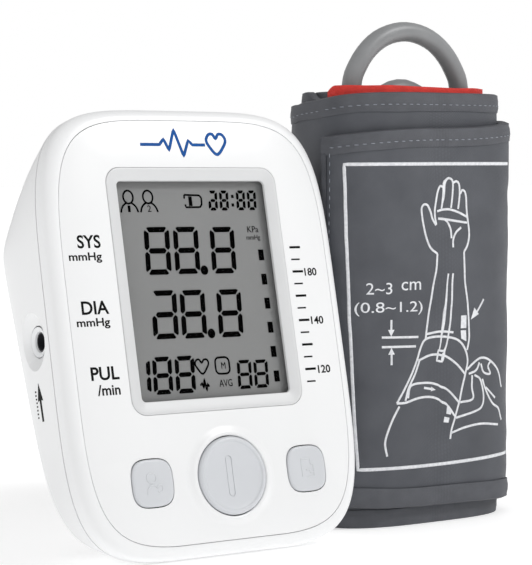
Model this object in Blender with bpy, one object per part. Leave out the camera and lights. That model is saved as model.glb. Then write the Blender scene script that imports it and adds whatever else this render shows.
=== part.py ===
"""Upper arm blood pressure monitor with its rolled arm cuff.

Metres, +Z up. The monitor is drawn in its own frame, centred on its face: +X to the right, +Y from the
face into the housing and +Z up the face. An empty then leans that frame back onto the flat bottom wall.
The cuff stands rolled up beside it on the same surface, with its air hose folded into the roll's core.
"""

import math

import bmesh
import bpy
from mathutils import Vector

# Housing
HOUSING_WIDTH = 0.1020
HOUSING_HEIGHT = 0.1366
OUTLINE_POWER = 5.0
OUTLINE_POINTS = 44
BASE_FLATNESS = 0.9975
LEAN = math.radians(13.0)
WALL = 0.0022
GAP = 0.0003

# Front shell and face panel
BAND_WIDTH = 0.0039
BAND_DEPTH = 0.0038
FRONT_RIM = 0.0068
PANEL_THICKNESS = 0.0012
SEAT_DEPTH = 0.0015
SEAT_FLOOR = 0.0020

# Rear shell: a wedge that is deepest at the hump, then slopes to the top edge
REAR_RIM = 0.0071
CELL_RADIUS = 0.0070
HUMP_DEPTH = 0.0285 + 2 * CELL_RADIUS
HUMP_HEIGHT = 0.0310
HUMP_ROUNDING = 0.0030
BACK_SLOPE = math.radians(10.6)
TOP_SLOPE = math.radians(45.0)

# Display
DISPLAY_X = 0.0008
DISPLAY_Z = 0.0122
DISPLAY_WIDTH = 0.0530
DISPLAY_HEIGHT = 0.0668
BEZEL_BORDER = 0.0040
BEZEL_CORNER = 0.0050
WINDOW_THICKNESS = 0.0010
GLASS_BORDER = 0.0017
GLASS_THICKNESS = 0.0020
HOLDER_BORDER = 0.0038
HOLDER_THICKNESS = 0.0027

# Buttons
BUTTON_ROW_Z = -0.0451
START_X = 0.0016
START_RADIUS = 0.0118
START_PROUD = 0.0017
START_COLLAR = 0.0024
SIDE_BUTTON_SPACING = 0.0275
SIDE_BUTTON_WIDTH = 0.0138
SIDE_BUTTON_HEIGHT = 0.0140
SIDE_BUTTON_PROUD = 0.0006
SIDE_BUTTON_POWER = 3.2
BUTTON_TRAVEL = 0.0008
STEM_RADIUS = 0.0030
PLUNGER_RADIUS = 0.0017
SWITCH_SIZE = 0.0070

# Circuit board
BOARD_WIDTH = 0.0780
BOARD_TOP = 0.0460
BOARD_BOTTOM = -0.0525
BOARD_THICKNESS = 0.0016
BOARD_SCREW_X = 0.0362
BOARD_SCREW_Z = -0.0290

# Battery bay, in the plane of the back
BAY_CENTRE_Z = -0.0120
CELL_COUNT = 4
CELL_LENGTH = 0.0503
CELL_SPACING = 0.0008
NUB_RADIUS = 0.0027
NUB_LENGTH = 0.0014
SPRING_ROOM = 0.0052
PLATE_THICKNESS = 0.0005
BAY_WALL = 0.0015
COVER_THICKNESS = 0.0017
COVER_LEDGE = 0.0030
COVER_EDGE_DEPTH = 0.0021

# Pump, valve and air path
PUMP_RADIUS = 0.0100
PUMP_Y = 0.0205
PUMP_Z = 0.0320
MOTOR_LENGTH = 0.0310
MOTOR_X = -0.0150
CRANK_RADIUS = 0.0050
HEAD_LENGTH = 0.0150
VALVE_RADIUS = 0.0047
VALVE_LENGTH = 0.0130
JACK_Y = 0.0185
JACK_Z = 0.0007
JACK_BORE = 0.00325
JACK_NECK = 0.0046
JACK_DISH = 0.0083
JACK_FLANGE = 0.0066
JACK_FLANGE_GAP = 0.0015
AIR_TUBE_RADIUS = 0.0016

# Fasteners and feet
SCREW_BOSS_RADIUS = 0.0046
SCREW_HEAD_RADIUS = 0.0027
SCREW_SHANK_RADIUS = 0.0013
UPPER_SCREW = (0.0330, 0.0540)
LOWER_SCREW = (0.0200, -0.0575)
SCREW_SEAT_Y = 0.0120
FOOT_RADIUS = 0.0040
FOOT_HEIGHT = 0.0020
FOOT_SEAT = 0.0008
UPPER_FOOT = (0.0300, 0.0375)
LOWER_FOOT = (0.0320, -0.0405)

# Cuff, rolled up flat-sided round an open core
CUFF_HEIGHT = 0.1410
CUFF_TURNS = 3.0
CUFF_PITCH = 0.0033
CORE_HALF_WIDTH = 0.0278
CORE_HALF_DEPTH = 0.0121
ROLL_POWER = 3.2
FLAP_ANGLE = math.radians(208)
CLOTH_THICKNESS = 0.0007
BLADDER_THICKNESS = 0.0008
FLAP_DROP = 0.0105
FLAP_RISE = 0.0085
EDGING_RISE = 0.0023
CUFF_CLEARANCE = 0.0008
CUFF_SETBACK = 0.0204

# Air hose, folded into the core with one arch standing above the roll
HOSE_RADIUS = 0.00325
HOSE_X = 0.0015
ARCH_RADIUS = 0.0230
LEG_OFFSET = 0.0036
ARCH_CENTRE_Z = 0.1388
TAIL_RADIUS = 0.0130
TAIL_X = 0.0005
TAIL_ARC_CENTRE_Z = 0.1275
FOLD_CENTRE_Z = 0.0275
PORT_TOP = 0.0300
TAIL_END_ANGLE = 60
TAIL_STRAIGHT = 0.0030

CELL_PITCH = 2 * CELL_RADIUS + CELL_SPACING
HALF_WIDTH = HOUSING_WIDTH / 2
HALF_HEIGHT = HOUSING_HEIGHT / 2
BOARD_FRONT = SEAT_DEPTH + SEAT_FLOOR + HOLDER_THICKNESS + 3 * GAP
BOARD_BACK = BOARD_FRONT + BOARD_THICKNESS
BACK_AT_BAY = HUMP_DEPTH - (HUMP_HEIGHT - BAY_CENTRE_Z) * math.tan(BACK_SLOPE)
SHEET_OFFSET = BLADDER_THICKNESS / 2 + GAP + CLOTH_THICKNESS / 2
STACK_HALF = SHEET_OFFSET + CLOTH_THICKNESS / 2
CORE_REACH = CORE_HALF_WIDTH + 2 * STACK_HALF
FLAP_REACH = (CORE_REACH + CUFF_TURNS * CUFF_PITCH) * abs(math.cos(FLAP_ANGLE)) ** (2 / ROLL_POWER)
ROLL_LEFT = max(FLAP_REACH, CORE_REACH + CUFF_PITCH * (CUFF_TURNS + FLAP_ANGLE / (2 * math.pi) - 1.5))
ROLL_RIGHT = CORE_REACH + CUFF_PITCH * (CUFF_TURNS + FLAP_ANGLE / (2 * math.pi) - 1)

# Where things stand: the origin is the bottom centre of the monitor and the roll together
ROLL_FROM_MONITOR = HALF_WIDTH + CUFF_CLEARANCE + ROLL_LEFT
MONITOR_X = -(ROLL_FROM_MONITOR + ROLL_RIGHT - HALF_WIDTH) / 2
FRONT_REACH = (HALF_HEIGHT - 0.9 * BAND_WIDTH) * math.sin(LEAN)
FOOT_REACH = (FOOT_HEIGHT - FOOT_SEAT) * math.cos(LEAN + BACK_SLOPE)
FOOT_REACH += (UPPER_FOOT[1] + 0.85 * FOOT_RADIUS) * math.sin(LEAN + BACK_SLOPE)
BACK_REACH = BACK_AT_BAY * math.cos(LEAN) + BAY_CENTRE_Z * math.sin(LEAN) + FOOT_REACH
MONITOR_Y = -(BACK_REACH - FRONT_REACH) / 2
MONITOR_Z = HALF_HEIGHT * BASE_FLATNESS * math.cos(LEAN) + REAR_RIM * math.sin(LEAN)
CUFF_X = MONITOR_X + ROLL_FROM_MONITOR
CUFF_Y = MONITOR_Y + DISPLAY_Z * math.sin(LEAN) + CUFF_SETBACK


# Scene, collections and materials

for old in list(bpy.data.objects):
    bpy.data.objects.remove(old, do_unlink=True)

parts = bpy.data.collections.new("blood_pressure_monitor")
cutters = bpy.data.collections.new("cutters")
for collection in (parts, cutters):
    bpy.context.scene.collection.children.link(collection)


def finish(name, color, roughness, metallic=0.0, alpha=1.0):
    made = bpy.data.materials.new(name)
    made.use_nodes = True
    shader = made.node_tree.nodes["Principled BSDF"]
    shader.inputs["Base Color"].default_value = (*color, 1.0)
    shader.inputs["Roughness"].default_value = roughness
    shader.inputs["Metallic"].default_value = metallic
    shader.inputs["Alpha"].default_value = alpha
    return made


WHITE = finish("white_housing", (0.90, 0.91, 0.92), 0.35)
GREY_BEZEL = finish("bezel_grey", (0.60, 0.62, 0.64), 0.4)
BUTTON_GREY = finish("button_grey", (0.66, 0.68, 0.71), 0.4)
CLEAR = finish("clear_window", (0.80, 0.82, 0.82), 0.05, alpha=0.4)
LCD = finish("lcd_glass", (0.26, 0.27, 0.27), 0.2)
DARK = finish("dark_plastic", (0.03, 0.03, 0.035), 0.45)
GREEN = finish("board_green", (0.02, 0.18, 0.07), 0.5)
STEEL = finish("steel", (0.62, 0.62, 0.64), 0.3, metallic=1.0)
CELL = finish("cell_jacket", (0.05, 0.12, 0.35), 0.3)
RUBBER = finish("foot_rubber", (0.12, 0.12, 0.13), 0.8)
SILICONE = finish("tube_silicone", (0.75, 0.76, 0.76), 0.5)
CLOTH = finish("cuff_cloth", (0.075, 0.08, 0.095), 0.85)
LINING = finish("cuff_lining", (0.04, 0.045, 0.055), 0.9)
BLADDER = finish("bladder_film", (0.30, 0.31, 0.33), 0.6)
RED = finish("red_edging", (0.65, 0.02, 0.02), 0.7)
HOSE = finish("hose_grey", (0.12, 0.125, 0.13), 0.45)


def frame_empty(name, location, tilt, parent=None):
    """An empty turned about X, which carries the pieces drawn in its frame."""
    empty = bpy.data.objects.new(name, None)
    parts.objects.link(empty)
    empty.parent = parent
    empty.location = location
    empty.rotation_euler = (tilt, 0, 0)
    return empty


monitor_frame = frame_empty("monitor_frame", (MONITOR_X, MONITOR_Y, MONITOR_Z), -LEAN)
back_frame = frame_empty("back_frame", (0, BACK_AT_BAY, BAY_CENTRE_Z), -BACK_SLOPE, monitor_frame)


def place(name, mesh, look, parent, location=(0, 0, 0), cutter=False, smooth=True):
    """Links a mesh as a part, or as a cutter that stays out of the render."""
    obj = bpy.data.objects.new(name, mesh)
    (cutters if cutter else parts).objects.link(obj)
    obj.parent = parent
    obj.location = location
    if cutter:
        obj.hide_render = True
        obj.display_type = "WIRE"
        return obj
    mesh.materials.append(look)
    if smooth:
        mesh.shade_smooth()
        mesh.set_sharp_from_angle(angle=math.radians(35))
    return obj


def mesh_of(bm, name):
    bmesh.ops.remove_doubles(bm, verts=bm.verts, dist=1e-7)
    bmesh.ops.triangulate(bm, faces=bm.faces[:])
    bmesh.ops.recalc_face_normals(bm, faces=bm.faces)
    mesh = bpy.data.meshes.new(name)
    bm.to_mesh(mesh)
    bm.free()
    return mesh


# Shapes

def superellipse(half_width, half_height, power, count, flat_base=1.0):
    """Points round a soft-cornered rectangle, with its lowest stretch cut level."""
    points = []
    for step in range(count):
        angle = 2 * math.pi * step / count
        across = math.copysign(abs(math.cos(angle)) ** (2 / power), math.cos(angle))
        up = math.copysign(abs(math.sin(angle)) ** (2 / power), math.sin(angle))
        points.append((half_width * across, half_height * max(up, -flat_base)))
    return points


def rounded_rectangle(width, height, corner, arc_steps=5):
    points = []
    centres = ((1, 1, 0), (-1, 1, 90), (-1, -1, 180), (1, -1, 270))
    for side, end, first in centres:
        for step in range(arc_steps + 1):
            angle = math.radians(first + 90 * step / arc_steps)
            x = side * (width / 2 - corner) + corner * math.cos(angle)
            z = end * (height / 2 - corner) + corner * math.sin(angle)
            points.append((x, z))
    return points


def loft(name, rings):
    """A closed body through rings of equal point counts, capped at both ends."""
    bm = bmesh.new()
    loops = [[bm.verts.new(point) for point in ring] for ring in rings]
    count = len(loops[0])
    for near, far in zip(loops, loops[1:]):
        for i in range(count):
            j = (i + 1) % count
            bm.faces.new((near[i], near[j], far[j], far[i]))
    bm.faces.new(loops[0])
    bm.faces.new(loops[-1])
    return mesh_of(bm, name)


def prism(name, outline, front, back, centre=(0, 0)):
    """An outline in the X-Z plane, from depth front to depth back."""
    rings = []
    for depth in (front, back):
        rings.append([(x + centre[0], depth, z + centre[1]) for x, z in outline])
    return loft(name, rings)


def block(name, low, high, bevel=0.0):
    """A box between two corners, with its edges rounded over if asked."""
    bm = bmesh.new()
    bmesh.ops.create_cube(bm, size=1.0)
    size = Vector(high) - Vector(low)
    bmesh.ops.scale(bm, vec=size, verts=bm.verts)
    bmesh.ops.translate(bm, vec=(Vector(high) + Vector(low)) / 2, verts=bm.verts)
    if bevel:
        bmesh.ops.bevel(bm, geom=bm.edges[:], offset=bevel, segments=2, profile=0.5, affect="EDGES")
    return mesh_of(bm, name)


def turned(name, profile, axis, centre, segments=24):
    """A turned body: profile rows are (distance along the axis, radius), swept round axis 'X', 'Y' or 'Z'."""
    bm = bmesh.new()
    rings = []
    for along, radius in profile:
        ring = []
        for step in range(segments):
            angle = 2 * math.pi * step / segments
            u, v = radius * math.cos(angle), radius * math.sin(angle)
            offset = {"X": (along, u, v), "Y": (u, along, v), "Z": (u, v, along)}[axis]
            ring.append(bm.verts.new(Vector(offset) + Vector(centre)))
        rings.append(ring)
    for near, far in zip(rings, rings[1:]):
        for i in range(segments):
            j = (i + 1) % segments
            bm.faces.new((near[i], near[j], far[j], far[i]))
    bm.faces.new(rings[0])
    bm.faces.new(rings[-1])
    return mesh_of(bm, name)


def cylinder(name, radius, start, end, axis, centre, segments=24):
    return turned(name, [(start, radius), (end, radius)], axis, centre, segments)


def boolean(target, other, operation="DIFFERENCE"):
    modifier = target.modifiers.new(f"{operation.lower()}_{other.name}", "BOOLEAN")
    modifier.operation = operation
    modifier.object = other


def cut(target, mesh, parent=None, location=(0, 0, 0)):
    boolean(target, place(mesh.name, mesh, None, parent or monitor_frame, location, cutter=True))


def join(target, mesh, parent=None, location=(0, 0, 0)):
    other = place(mesh.name, mesh, None, parent or monitor_frame, location, cutter=True)
    boolean(target, other, "UNION")


def smooth_path(points, spacing):
    """Points about one spacing apart along a smooth curve through the given ones."""
    ends = [2 * Vector(points[0]) - Vector(points[1]), 2 * Vector(points[-1]) - Vector(points[-2])]
    knots = [ends[0], *map(Vector, points), ends[1]]
    path = [knots[1]]
    for a, b, c, d in zip(knots, knots[1:], knots[2:], knots[3:]):
        steps = max(1, round((c - b).length / spacing))
        for step in range(1, steps + 1):
            t = step / steps
            path.append(0.5 * (2 * b + (c - a) * t + (2 * a - 5 * b + 4 * c - d) * t**2
                               + (3 * b - a - 3 * c + d) * t**3))
    return path


def tube(name, path, radius, look, parent, resolution=2):
    """A round tube along a path, as a poly curve with filled caps."""
    curve = bpy.data.curves.new(name, "CURVE")
    curve.dimensions = "3D"
    curve.bevel_depth = radius
    curve.bevel_resolution = resolution
    curve.use_fill_caps = True
    spline = curve.splines.new("POLY")
    spline.points.add(len(path) - 1)
    for point, place_of in zip(spline.points, path):
        point.co = (*place_of, 1.0)
    curve.materials.append(look)
    obj = bpy.data.objects.new(name, curve)
    parts.objects.link(obj)
    obj.parent = parent
    return obj


# Housing

def housing_ring(inset, depth):
    outline = superellipse(HALF_WIDTH - inset, HALF_HEIGHT - inset, OUTLINE_POWER, OUTLINE_POINTS, BASE_FLATNESS)
    return [(x, depth, z) for x, z in outline]


def back_depth(z):
    """Depth of the back at height z: the long slope and the top slope, rounded where they meet."""
    back = HUMP_DEPTH - (HUMP_HEIGHT - z) * math.tan(BACK_SLOPE)
    top = HUMP_DEPTH - (z - HUMP_HEIGHT) * math.tan(TOP_SLOPE)
    return (back + top - math.hypot(back - top, HUMP_ROUNDING)) / 2


def rear_ring(inset, share, wall):
    """One ring of the rear shell. share runs from 0 at the rim to 1 on the back, and the bottom wall is
    drawn in by the lean, so that it lies level when the monitor stands."""
    base_depth = back_depth(-HALF_HEIGHT * BASE_FLATNESS) - REAR_RIM
    base_depth /= 1 - math.tan(BACK_SLOPE) * math.tan(LEAN)
    base_inset = max(inset, base_depth * share * math.tan(LEAN) / BASE_FLATNESS)
    ring = []
    for x, z in superellipse(1, 1, OUTLINE_POWER, OUTLINE_POINTS, BASE_FLATNESS):
        height = z * (HALF_HEIGHT - wall - (base_inset if z < 0 else inset))
        deepest = max(back_depth(height) - wall, REAR_RIM + 0.001)
        ring.append((x * (HALF_WIDTH - wall - inset), REAR_RIM + (deepest - REAR_RIM) * share, height))
    return ring


REAR_SECTIONS = ((0, 0), (0.0008, 0.40), (0.0018, 0.70), (0.0033, 0.86), (0.0056, 0.95), (0.0090, 0.99),
                 (0.0135, 1.0), (0.0280, 1.0), (0.0440, 1.0))

band = ((BAND_WIDTH, 0), (0.6 * BAND_WIDTH, 0.06 * BAND_DEPTH), (0.3 * BAND_WIDTH, 0.26 * BAND_DEPTH),
        (0.09 * BAND_WIDTH, 0.58 * BAND_DEPTH), (0, BAND_DEPTH), (0, FRONT_RIM), (WALL, FRONT_RIM))
floor_back = SEAT_DEPTH + SEAT_FLOOR
front_rings = [housing_ring(0.8 * HALF_WIDTH, SEAT_DEPTH), housing_ring(BAND_WIDTH, SEAT_DEPTH)]
front_rings += [housing_ring(inset, depth) for inset, depth in band]
front_rings += [housing_ring(WALL, floor_back), housing_ring(0.8 * HALF_WIDTH, floor_back)]
front_shell = place("front_shell", loft("front_shell", front_rings), WHITE, monitor_frame)

rear_rings = [rear_ring(inset, share, 0.0) for inset, share in reversed(REAR_SECTIONS)]
rear_rings += [rear_ring(inset, share, WALL) for inset, share in REAR_SECTIONS]
rear_shell = place("rear_shell", loft("rear_shell", rear_rings), WHITE, monitor_frame)

# Display stack, from the bezel to the holder

display_centre = (DISPLAY_X, DISPLAY_Z)


def display_outline(border, corner):
    return rounded_rectangle(DISPLAY_WIDTH + 2 * border, DISPLAY_HEIGHT + 2 * border, corner)


panel_outline = superellipse(HALF_WIDTH - BAND_WIDTH - GAP, HALF_HEIGHT - BAND_WIDTH - GAP, OUTLINE_POWER,
                             OUTLINE_POINTS, BASE_FLATNESS)
face_panel = place("face_panel", prism("face_panel", panel_outline, 0, PANEL_THICKNESS), WHITE, monitor_frame)
collar_inner = START_RADIUS + GAP
collar_outer = collar_inner + START_COLLAR
collar_profile = [(0.0006, collar_outer), (-0.0002, collar_outer), (-0.0008, collar_outer - 0.0008),
                  (-0.0008, collar_inner - 0.0008)]
join(face_panel, turned("collar", collar_profile, "Y", (START_X, 0, BUTTON_ROW_Z), 32))

window_border = BEZEL_BORDER - 0.0016
cut(face_panel, prism("bezel_opening", display_outline(BEZEL_BORDER + GAP, BEZEL_CORNER), -0.002, 0.003,
                      display_centre))
cut(front_shell, prism("window_opening", display_outline(window_border + GAP, BEZEL_CORNER - 0.0016), 0, 0.006,
                       display_centre))

bezel_front = display_outline(BEZEL_BORDER, BEZEL_CORNER)
bezel_lip = display_outline(0.0, 0.0016)
bezel_rings = [[(x + DISPLAY_X, depth, z + DISPLAY_Z) for x, z in outline] for outline, depth in (
    (bezel_front, -0.0003), (bezel_lip, 0.0006), (bezel_lip, PANEL_THICKNESS), (bezel_front, PANEL_THICKNESS))]
bezel = bmesh.new()
bezel_loops = [[bezel.verts.new(point) for point in ring] for ring in bezel_rings]
for near, far in zip(bezel_loops, bezel_loops[1:] + bezel_loops[:1]):
    for i in range(len(near)):
        j = (i + 1) % len(near)
        bezel.faces.new((near[i], near[j], far[j], far[i]))
place("display_bezel", mesh_of(bezel, "display_bezel"), GREY_BEZEL, monitor_frame)

window_front = SEAT_DEPTH + GAP
window_back = window_front + WINDOW_THICKNESS
place("display_window", prism("display_window", display_outline(window_border, BEZEL_CORNER - 0.0016), window_front,
                              window_back, display_centre), CLEAR, monitor_frame)
glass_front = window_back + GAP
glass_back = glass_front + GLASS_THICKNESS
place("lcd_glass", prism("lcd_glass", display_outline(GLASS_BORDER, 0.0005), glass_front, glass_back,
                         display_centre), LCD, monitor_frame)
holder_front = floor_back + GAP
holder_back = holder_front + HOLDER_THICKNESS
lcd_holder = place("lcd_holder", prism("lcd_holder", display_outline(HOLDER_BORDER, 0.0015), holder_front,
                                       holder_back, display_centre), DARK, monitor_frame)
cut(lcd_holder, prism("holder_opening", display_outline(GLASS_BORDER + GAP, 0.0006), 0, 0.02, display_centre))
zebra_z = DISPLAY_Z - DISPLAY_HEIGHT / 2 + 0.0015
place("contact_strip", block("contact_strip", (DISPLAY_X - 0.0245, glass_back + GAP, zebra_z - 0.0010),
                             (DISPLAY_X + 0.0245, BOARD_FRONT - GAP, zebra_z + 0.0010)), DARK, monitor_frame)

# Buttons, each over its switch

switch_front = SEAT_DEPTH + SEAT_FLOOR + GAP
plunger_front = SEAT_DEPTH + 0.0008
plunger_back = switch_front + 0.0012


def add_switch(name, x):
    centre = (x, 0, BUTTON_ROW_Z)
    half = SWITCH_SIZE / 2
    body = place(f"{name}_switch", block(f"{name}_switch", (x - half, switch_front, BUTTON_ROW_Z - half),
                                         (x + half, BOARD_FRONT - GAP, BUTTON_ROW_Z + half)), DARK, monitor_frame)
    bore_end = plunger_back + BUTTON_TRAVEL + GAP
    cut(body, cylinder(f"{name}_switch_bore", PLUNGER_RADIUS + GAP, 0, bore_end, "Y", centre, 16))
    stem = cylinder(f"{name}_plunger", PLUNGER_RADIUS, plunger_front, plunger_back, "Y", (0, 0, 0), 16)
    place(f"{name}_plunger", stem, DARK, monitor_frame, centre)


def add_side_button(name, x):
    """A soft square key with a stem that reaches its switch."""
    rings = []
    for inset, depth in ((0.0030, -0.0001), (0.0008, 0), (0.0001, 0.0005), (0, 0.0011), (0, 0.0016)):
        outline = superellipse(SIDE_BUTTON_WIDTH / 2 - inset, SIDE_BUTTON_HEIGHT / 2 - inset, SIDE_BUTTON_POWER, 24)
        rings.append([(u, depth - SIDE_BUTTON_PROUD, v) for u, v in outline])
    key = place(f"{name}_button", loft(f"{name}_button", rings), BUTTON_GREY, monitor_frame, (x, 0, BUTTON_ROW_Z))
    join(key, cylinder(f"{name}_stem", STEM_RADIUS, 0, plunger_front - GAP, "Y", (x, 0, BUTTON_ROW_Z), 16))
    hole = superellipse(SIDE_BUTTON_WIDTH / 2 + GAP, SIDE_BUTTON_HEIGHT / 2 + GAP, SIDE_BUTTON_POWER, 24)
    cut(face_panel, prism(f"{name}_hole", hole, -0.002, 0.0025, (x, BUTTON_ROW_Z)))
    cut(front_shell, prism(f"{name}_floor_hole", hole, 0.0005, 0.006, (x, BUTTON_ROW_Z)))


start_profile = [(-0.92, 0.60), (-1.0, 0.84), (-0.94, 0.93), (-0.62, 0.975), (0, 1.0)]
start_rows = [(share * START_PROUD, START_RADIUS * radius) for share, radius in start_profile]
start_rows += [(0.0008, START_RADIUS), (0.0008, STEM_RADIUS), (plunger_front - GAP, STEM_RADIUS)]
place("start_button", turned("start_button", start_rows, "Y", (0, 0, 0), 32), BUTTON_GREY, monitor_frame,
      (START_X, 0, BUTTON_ROW_Z))
cut(face_panel, cylinder("start_hole", START_RADIUS + GAP, -0.003, 0.003, "Y", (START_X, 0, BUTTON_ROW_Z), 32))
cut(front_shell, cylinder("start_floor_hole", START_RADIUS + GAP, 0.0005, 0.006, "Y",
                          (START_X, 0, BUTTON_ROW_Z), 32))
add_side_button("user", START_X - SIDE_BUTTON_SPACING)
add_side_button("memory", START_X + SIDE_BUTTON_SPACING)
for key_name, key_x in (("start", START_X), ("user", START_X - SIDE_BUTTON_SPACING),
                        ("memory", START_X + SIDE_BUTTON_SPACING)):
    add_switch(key_name, key_x)

# Circuit board and what is on it

board_middle = (BOARD_TOP + BOARD_BOTTOM) / 2
board_outline = rounded_rectangle(BOARD_WIDTH, BOARD_TOP - BOARD_BOTTOM, 0.002, 3)
main_board = place("main_board", prism("main_board", board_outline, BOARD_FRONT, BOARD_BACK, (0, board_middle)),
                   GREEN, monitor_frame)
chip_front = BOARD_BACK + GAP
place("controller_chip", block("controller_chip", (-0.0060, chip_front, -0.0515), (0.0060, chip_front + 0.0012,
                                                                                   -0.0440)), DARK, monitor_frame)
place("buzzer", cylinder("buzzer", 0.0052, chip_front, chip_front + 0.0040, "Y", (-0.0260, 0, -0.0460)), DARK,
      monitor_frame)
sensor_centre = (0.0270, 0, -0.0460)
sensor_rows = [(chip_front, 0.0045), (chip_front + 0.0030, 0.0045), (chip_front + 0.0030, 0.0012),
               (chip_front + 0.0060, 0.0012)]
place("pressure_sensor", turned("pressure_sensor", sensor_rows, "Y", sensor_centre, 20), STEEL, monitor_frame)

for number, side in enumerate((-1, 1), 1):
    post = (side * BOARD_SCREW_X, 0, BOARD_SCREW_Z)
    join(front_shell, cylinder(f"board_post_{number}", 0.0024, floor_back - 0.0005, BOARD_FRONT - GAP, "Y", post, 16))
    cut(front_shell, cylinder(f"board_post_bore_{number}", 0.0011 + GAP, floor_back + 0.0002, 0.012, "Y", post, 16))
    cut(main_board, cylinder(f"board_hole_{number}", 0.0011 + GAP, 0.002, 0.012, "Y", post, 16))
    board_screw_rows = [(floor_back + 0.0008, 0.0011), (BOARD_BACK + GAP, 0.0011), (BOARD_BACK + GAP, 0.0021),
                        (BOARD_BACK + GAP + 0.0012, 0.0019)]
    place(f"board_screw_{number}", turned(f"board_screw_{number}", board_screw_rows, "Y", post, 12), STEEL,
          monitor_frame)

# Battery bay in the rear shell, its cells, contacts and cover

bay_half_width = ((CELL_COUNT - 1) * CELL_PITCH + 2 * CELL_RADIUS) / 2 + 0.0014
bay_half_height = (CELL_LENGTH + SPRING_ROOM) / 2 + PLATE_THICKNESS + 2 * GAP
cell_depth = -(COVER_EDGE_DEPTH + CELL_RADIUS + 0.0010)
bay_floor = cell_depth - CELL_RADIUS - 0.0008
ledge_half_width = bay_half_width + COVER_LEDGE
ledge_half_height = bay_half_height + COVER_LEDGE
ledge_floor = -(COVER_EDGE_DEPTH + 0.0018)


def bay_box(name, half_width, half_height, deep, shallow, bevel=0.0):
    return block(name, (-half_width, deep, -half_height), (half_width, shallow, half_height), bevel)


join(rear_shell, bay_box("ledge_walls", ledge_half_width + BAY_WALL, ledge_half_height + BAY_WALL, ledge_floor,
                         -0.0010), back_frame)
join(rear_shell, bay_box("bay_walls", bay_half_width + BAY_WALL, bay_half_height + BAY_WALL,
                         bay_floor - BAY_WALL, ledge_floor + 0.0005), back_frame)
cut(rear_shell, bay_box("bay_space", bay_half_width, bay_half_height, bay_floor, 0.0030), back_frame)
cut(rear_shell, bay_box("cover_seat", ledge_half_width, ledge_half_height, -COVER_EDGE_DEPTH, 0.0030), back_frame)

cover_half_width = ledge_half_width - GAP
cover_half_height = ledge_half_height - GAP
hinge_frame = frame_empty("hinge_frame", (0, 0, -cover_half_height), 0, back_frame)
battery_cover = place("battery_cover", block("battery_cover", (-cover_half_width, -COVER_THICKNESS, 0),
                                             (cover_half_width, 0, 2 * cover_half_height)), WHITE, hinge_frame)
tab_reach = 0.0018
tab_depth = COVER_EDGE_DEPTH + 0.0018
for number, side in enumerate((-1, 1), 1):
    tab_low = (side * 0.0140 - 0.0040, -tab_depth, -tab_reach)
    tab_high = (side * 0.0140 + 0.0040, -(WALL + GAP), 0.0018)
    join(battery_cover, block(f"tab_{number}", tab_low, tab_high), hinge_frame)
    neck_high = (tab_high[0], -COVER_THICKNESS / 2, 0.0018)
    join(battery_cover, block(f"tab_neck_{number}", (tab_low[0], -tab_depth, 0.0004), neck_high), hinge_frame)
    slot_low = (tab_low[0] - GAP, -(tab_depth + 0.0012), -(tab_reach + 2 * GAP))
    slot_high = (tab_high[0] + GAP, -(COVER_EDGE_DEPTH - 0.0001), 0.0045)
    cut(rear_shell, block(f"tab_slot_{number}", slot_low, slot_high), hinge_frame)
latch_top = 2 * cover_half_height
join(battery_cover, block("latch_tongue", (-0.0070, -0.0045, latch_top - 0.0030),
                          (0.0070, -COVER_THICKNESS / 2, latch_top - 0.0004)), hinge_frame)
cut(rear_shell, block("latch_slot", (-0.0080, -0.0052, latch_top - 0.0060), (0.0080, -0.0014, latch_top + 0.0008)),
    hinge_frame)

spring_turns = 3.0
plate_outer = bay_half_height - GAP
for end_name, end in (("upper", 1), ("lower", -1)):
    low, high = sorted((end * plate_outer, end * (plate_outer - PLATE_THICKNESS)))
    reach = bay_half_width - 2 * GAP
    place(f"contact_plate_{end_name}", block(f"contact_plate_{end_name}", (-reach, bay_floor + 0.0010, low),
                                             (reach, -COVER_EDGE_DEPTH - 0.0012, high)), STEEL, back_frame)

nub_end = plate_outer - PLATE_THICKNESS - GAP
cell_bottom = nub_end - CELL_LENGTH
for index in range(CELL_COUNT):
    x = (index - (CELL_COUNT - 1) / 2) * CELL_PITCH
    way = 1 if index % 2 == 0 else -1
    rows = [(cell_bottom, CELL_RADIUS - 0.0006), (cell_bottom + 0.0006, CELL_RADIUS),
            (nub_end - NUB_LENGTH - 0.0008, CELL_RADIUS), (nub_end - NUB_LENGTH, CELL_RADIUS - 0.0010),
            (nub_end - NUB_LENGTH, NUB_RADIUS), (nub_end, NUB_RADIUS)]
    rows = [(way * along, radius) for along, radius in rows]
    place(f"battery_{index + 1}", turned(f"battery_{index + 1}", rows, "Z", (x, cell_depth, 0), 16), CELL, back_frame)
    coil = []
    coil_length = nub_end + cell_bottom - 4 * GAP
    for step in range(int(9 * spring_turns) + 1):
        share = step / (9 * spring_turns)
        angle = 2 * math.pi * spring_turns * share
        radius = 0.0046 - 0.0018 * share
        z = -way * (nub_end - GAP - coil_length * share)
        coil.append((x + radius * math.cos(angle), cell_depth + radius * math.sin(angle), z))
    tube(f"battery_spring_{index + 1}", coil, 0.0003, STEEL, back_frame, 0)

# Pump, exhaust valve, manifold, air jack and the tubes between them

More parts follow.
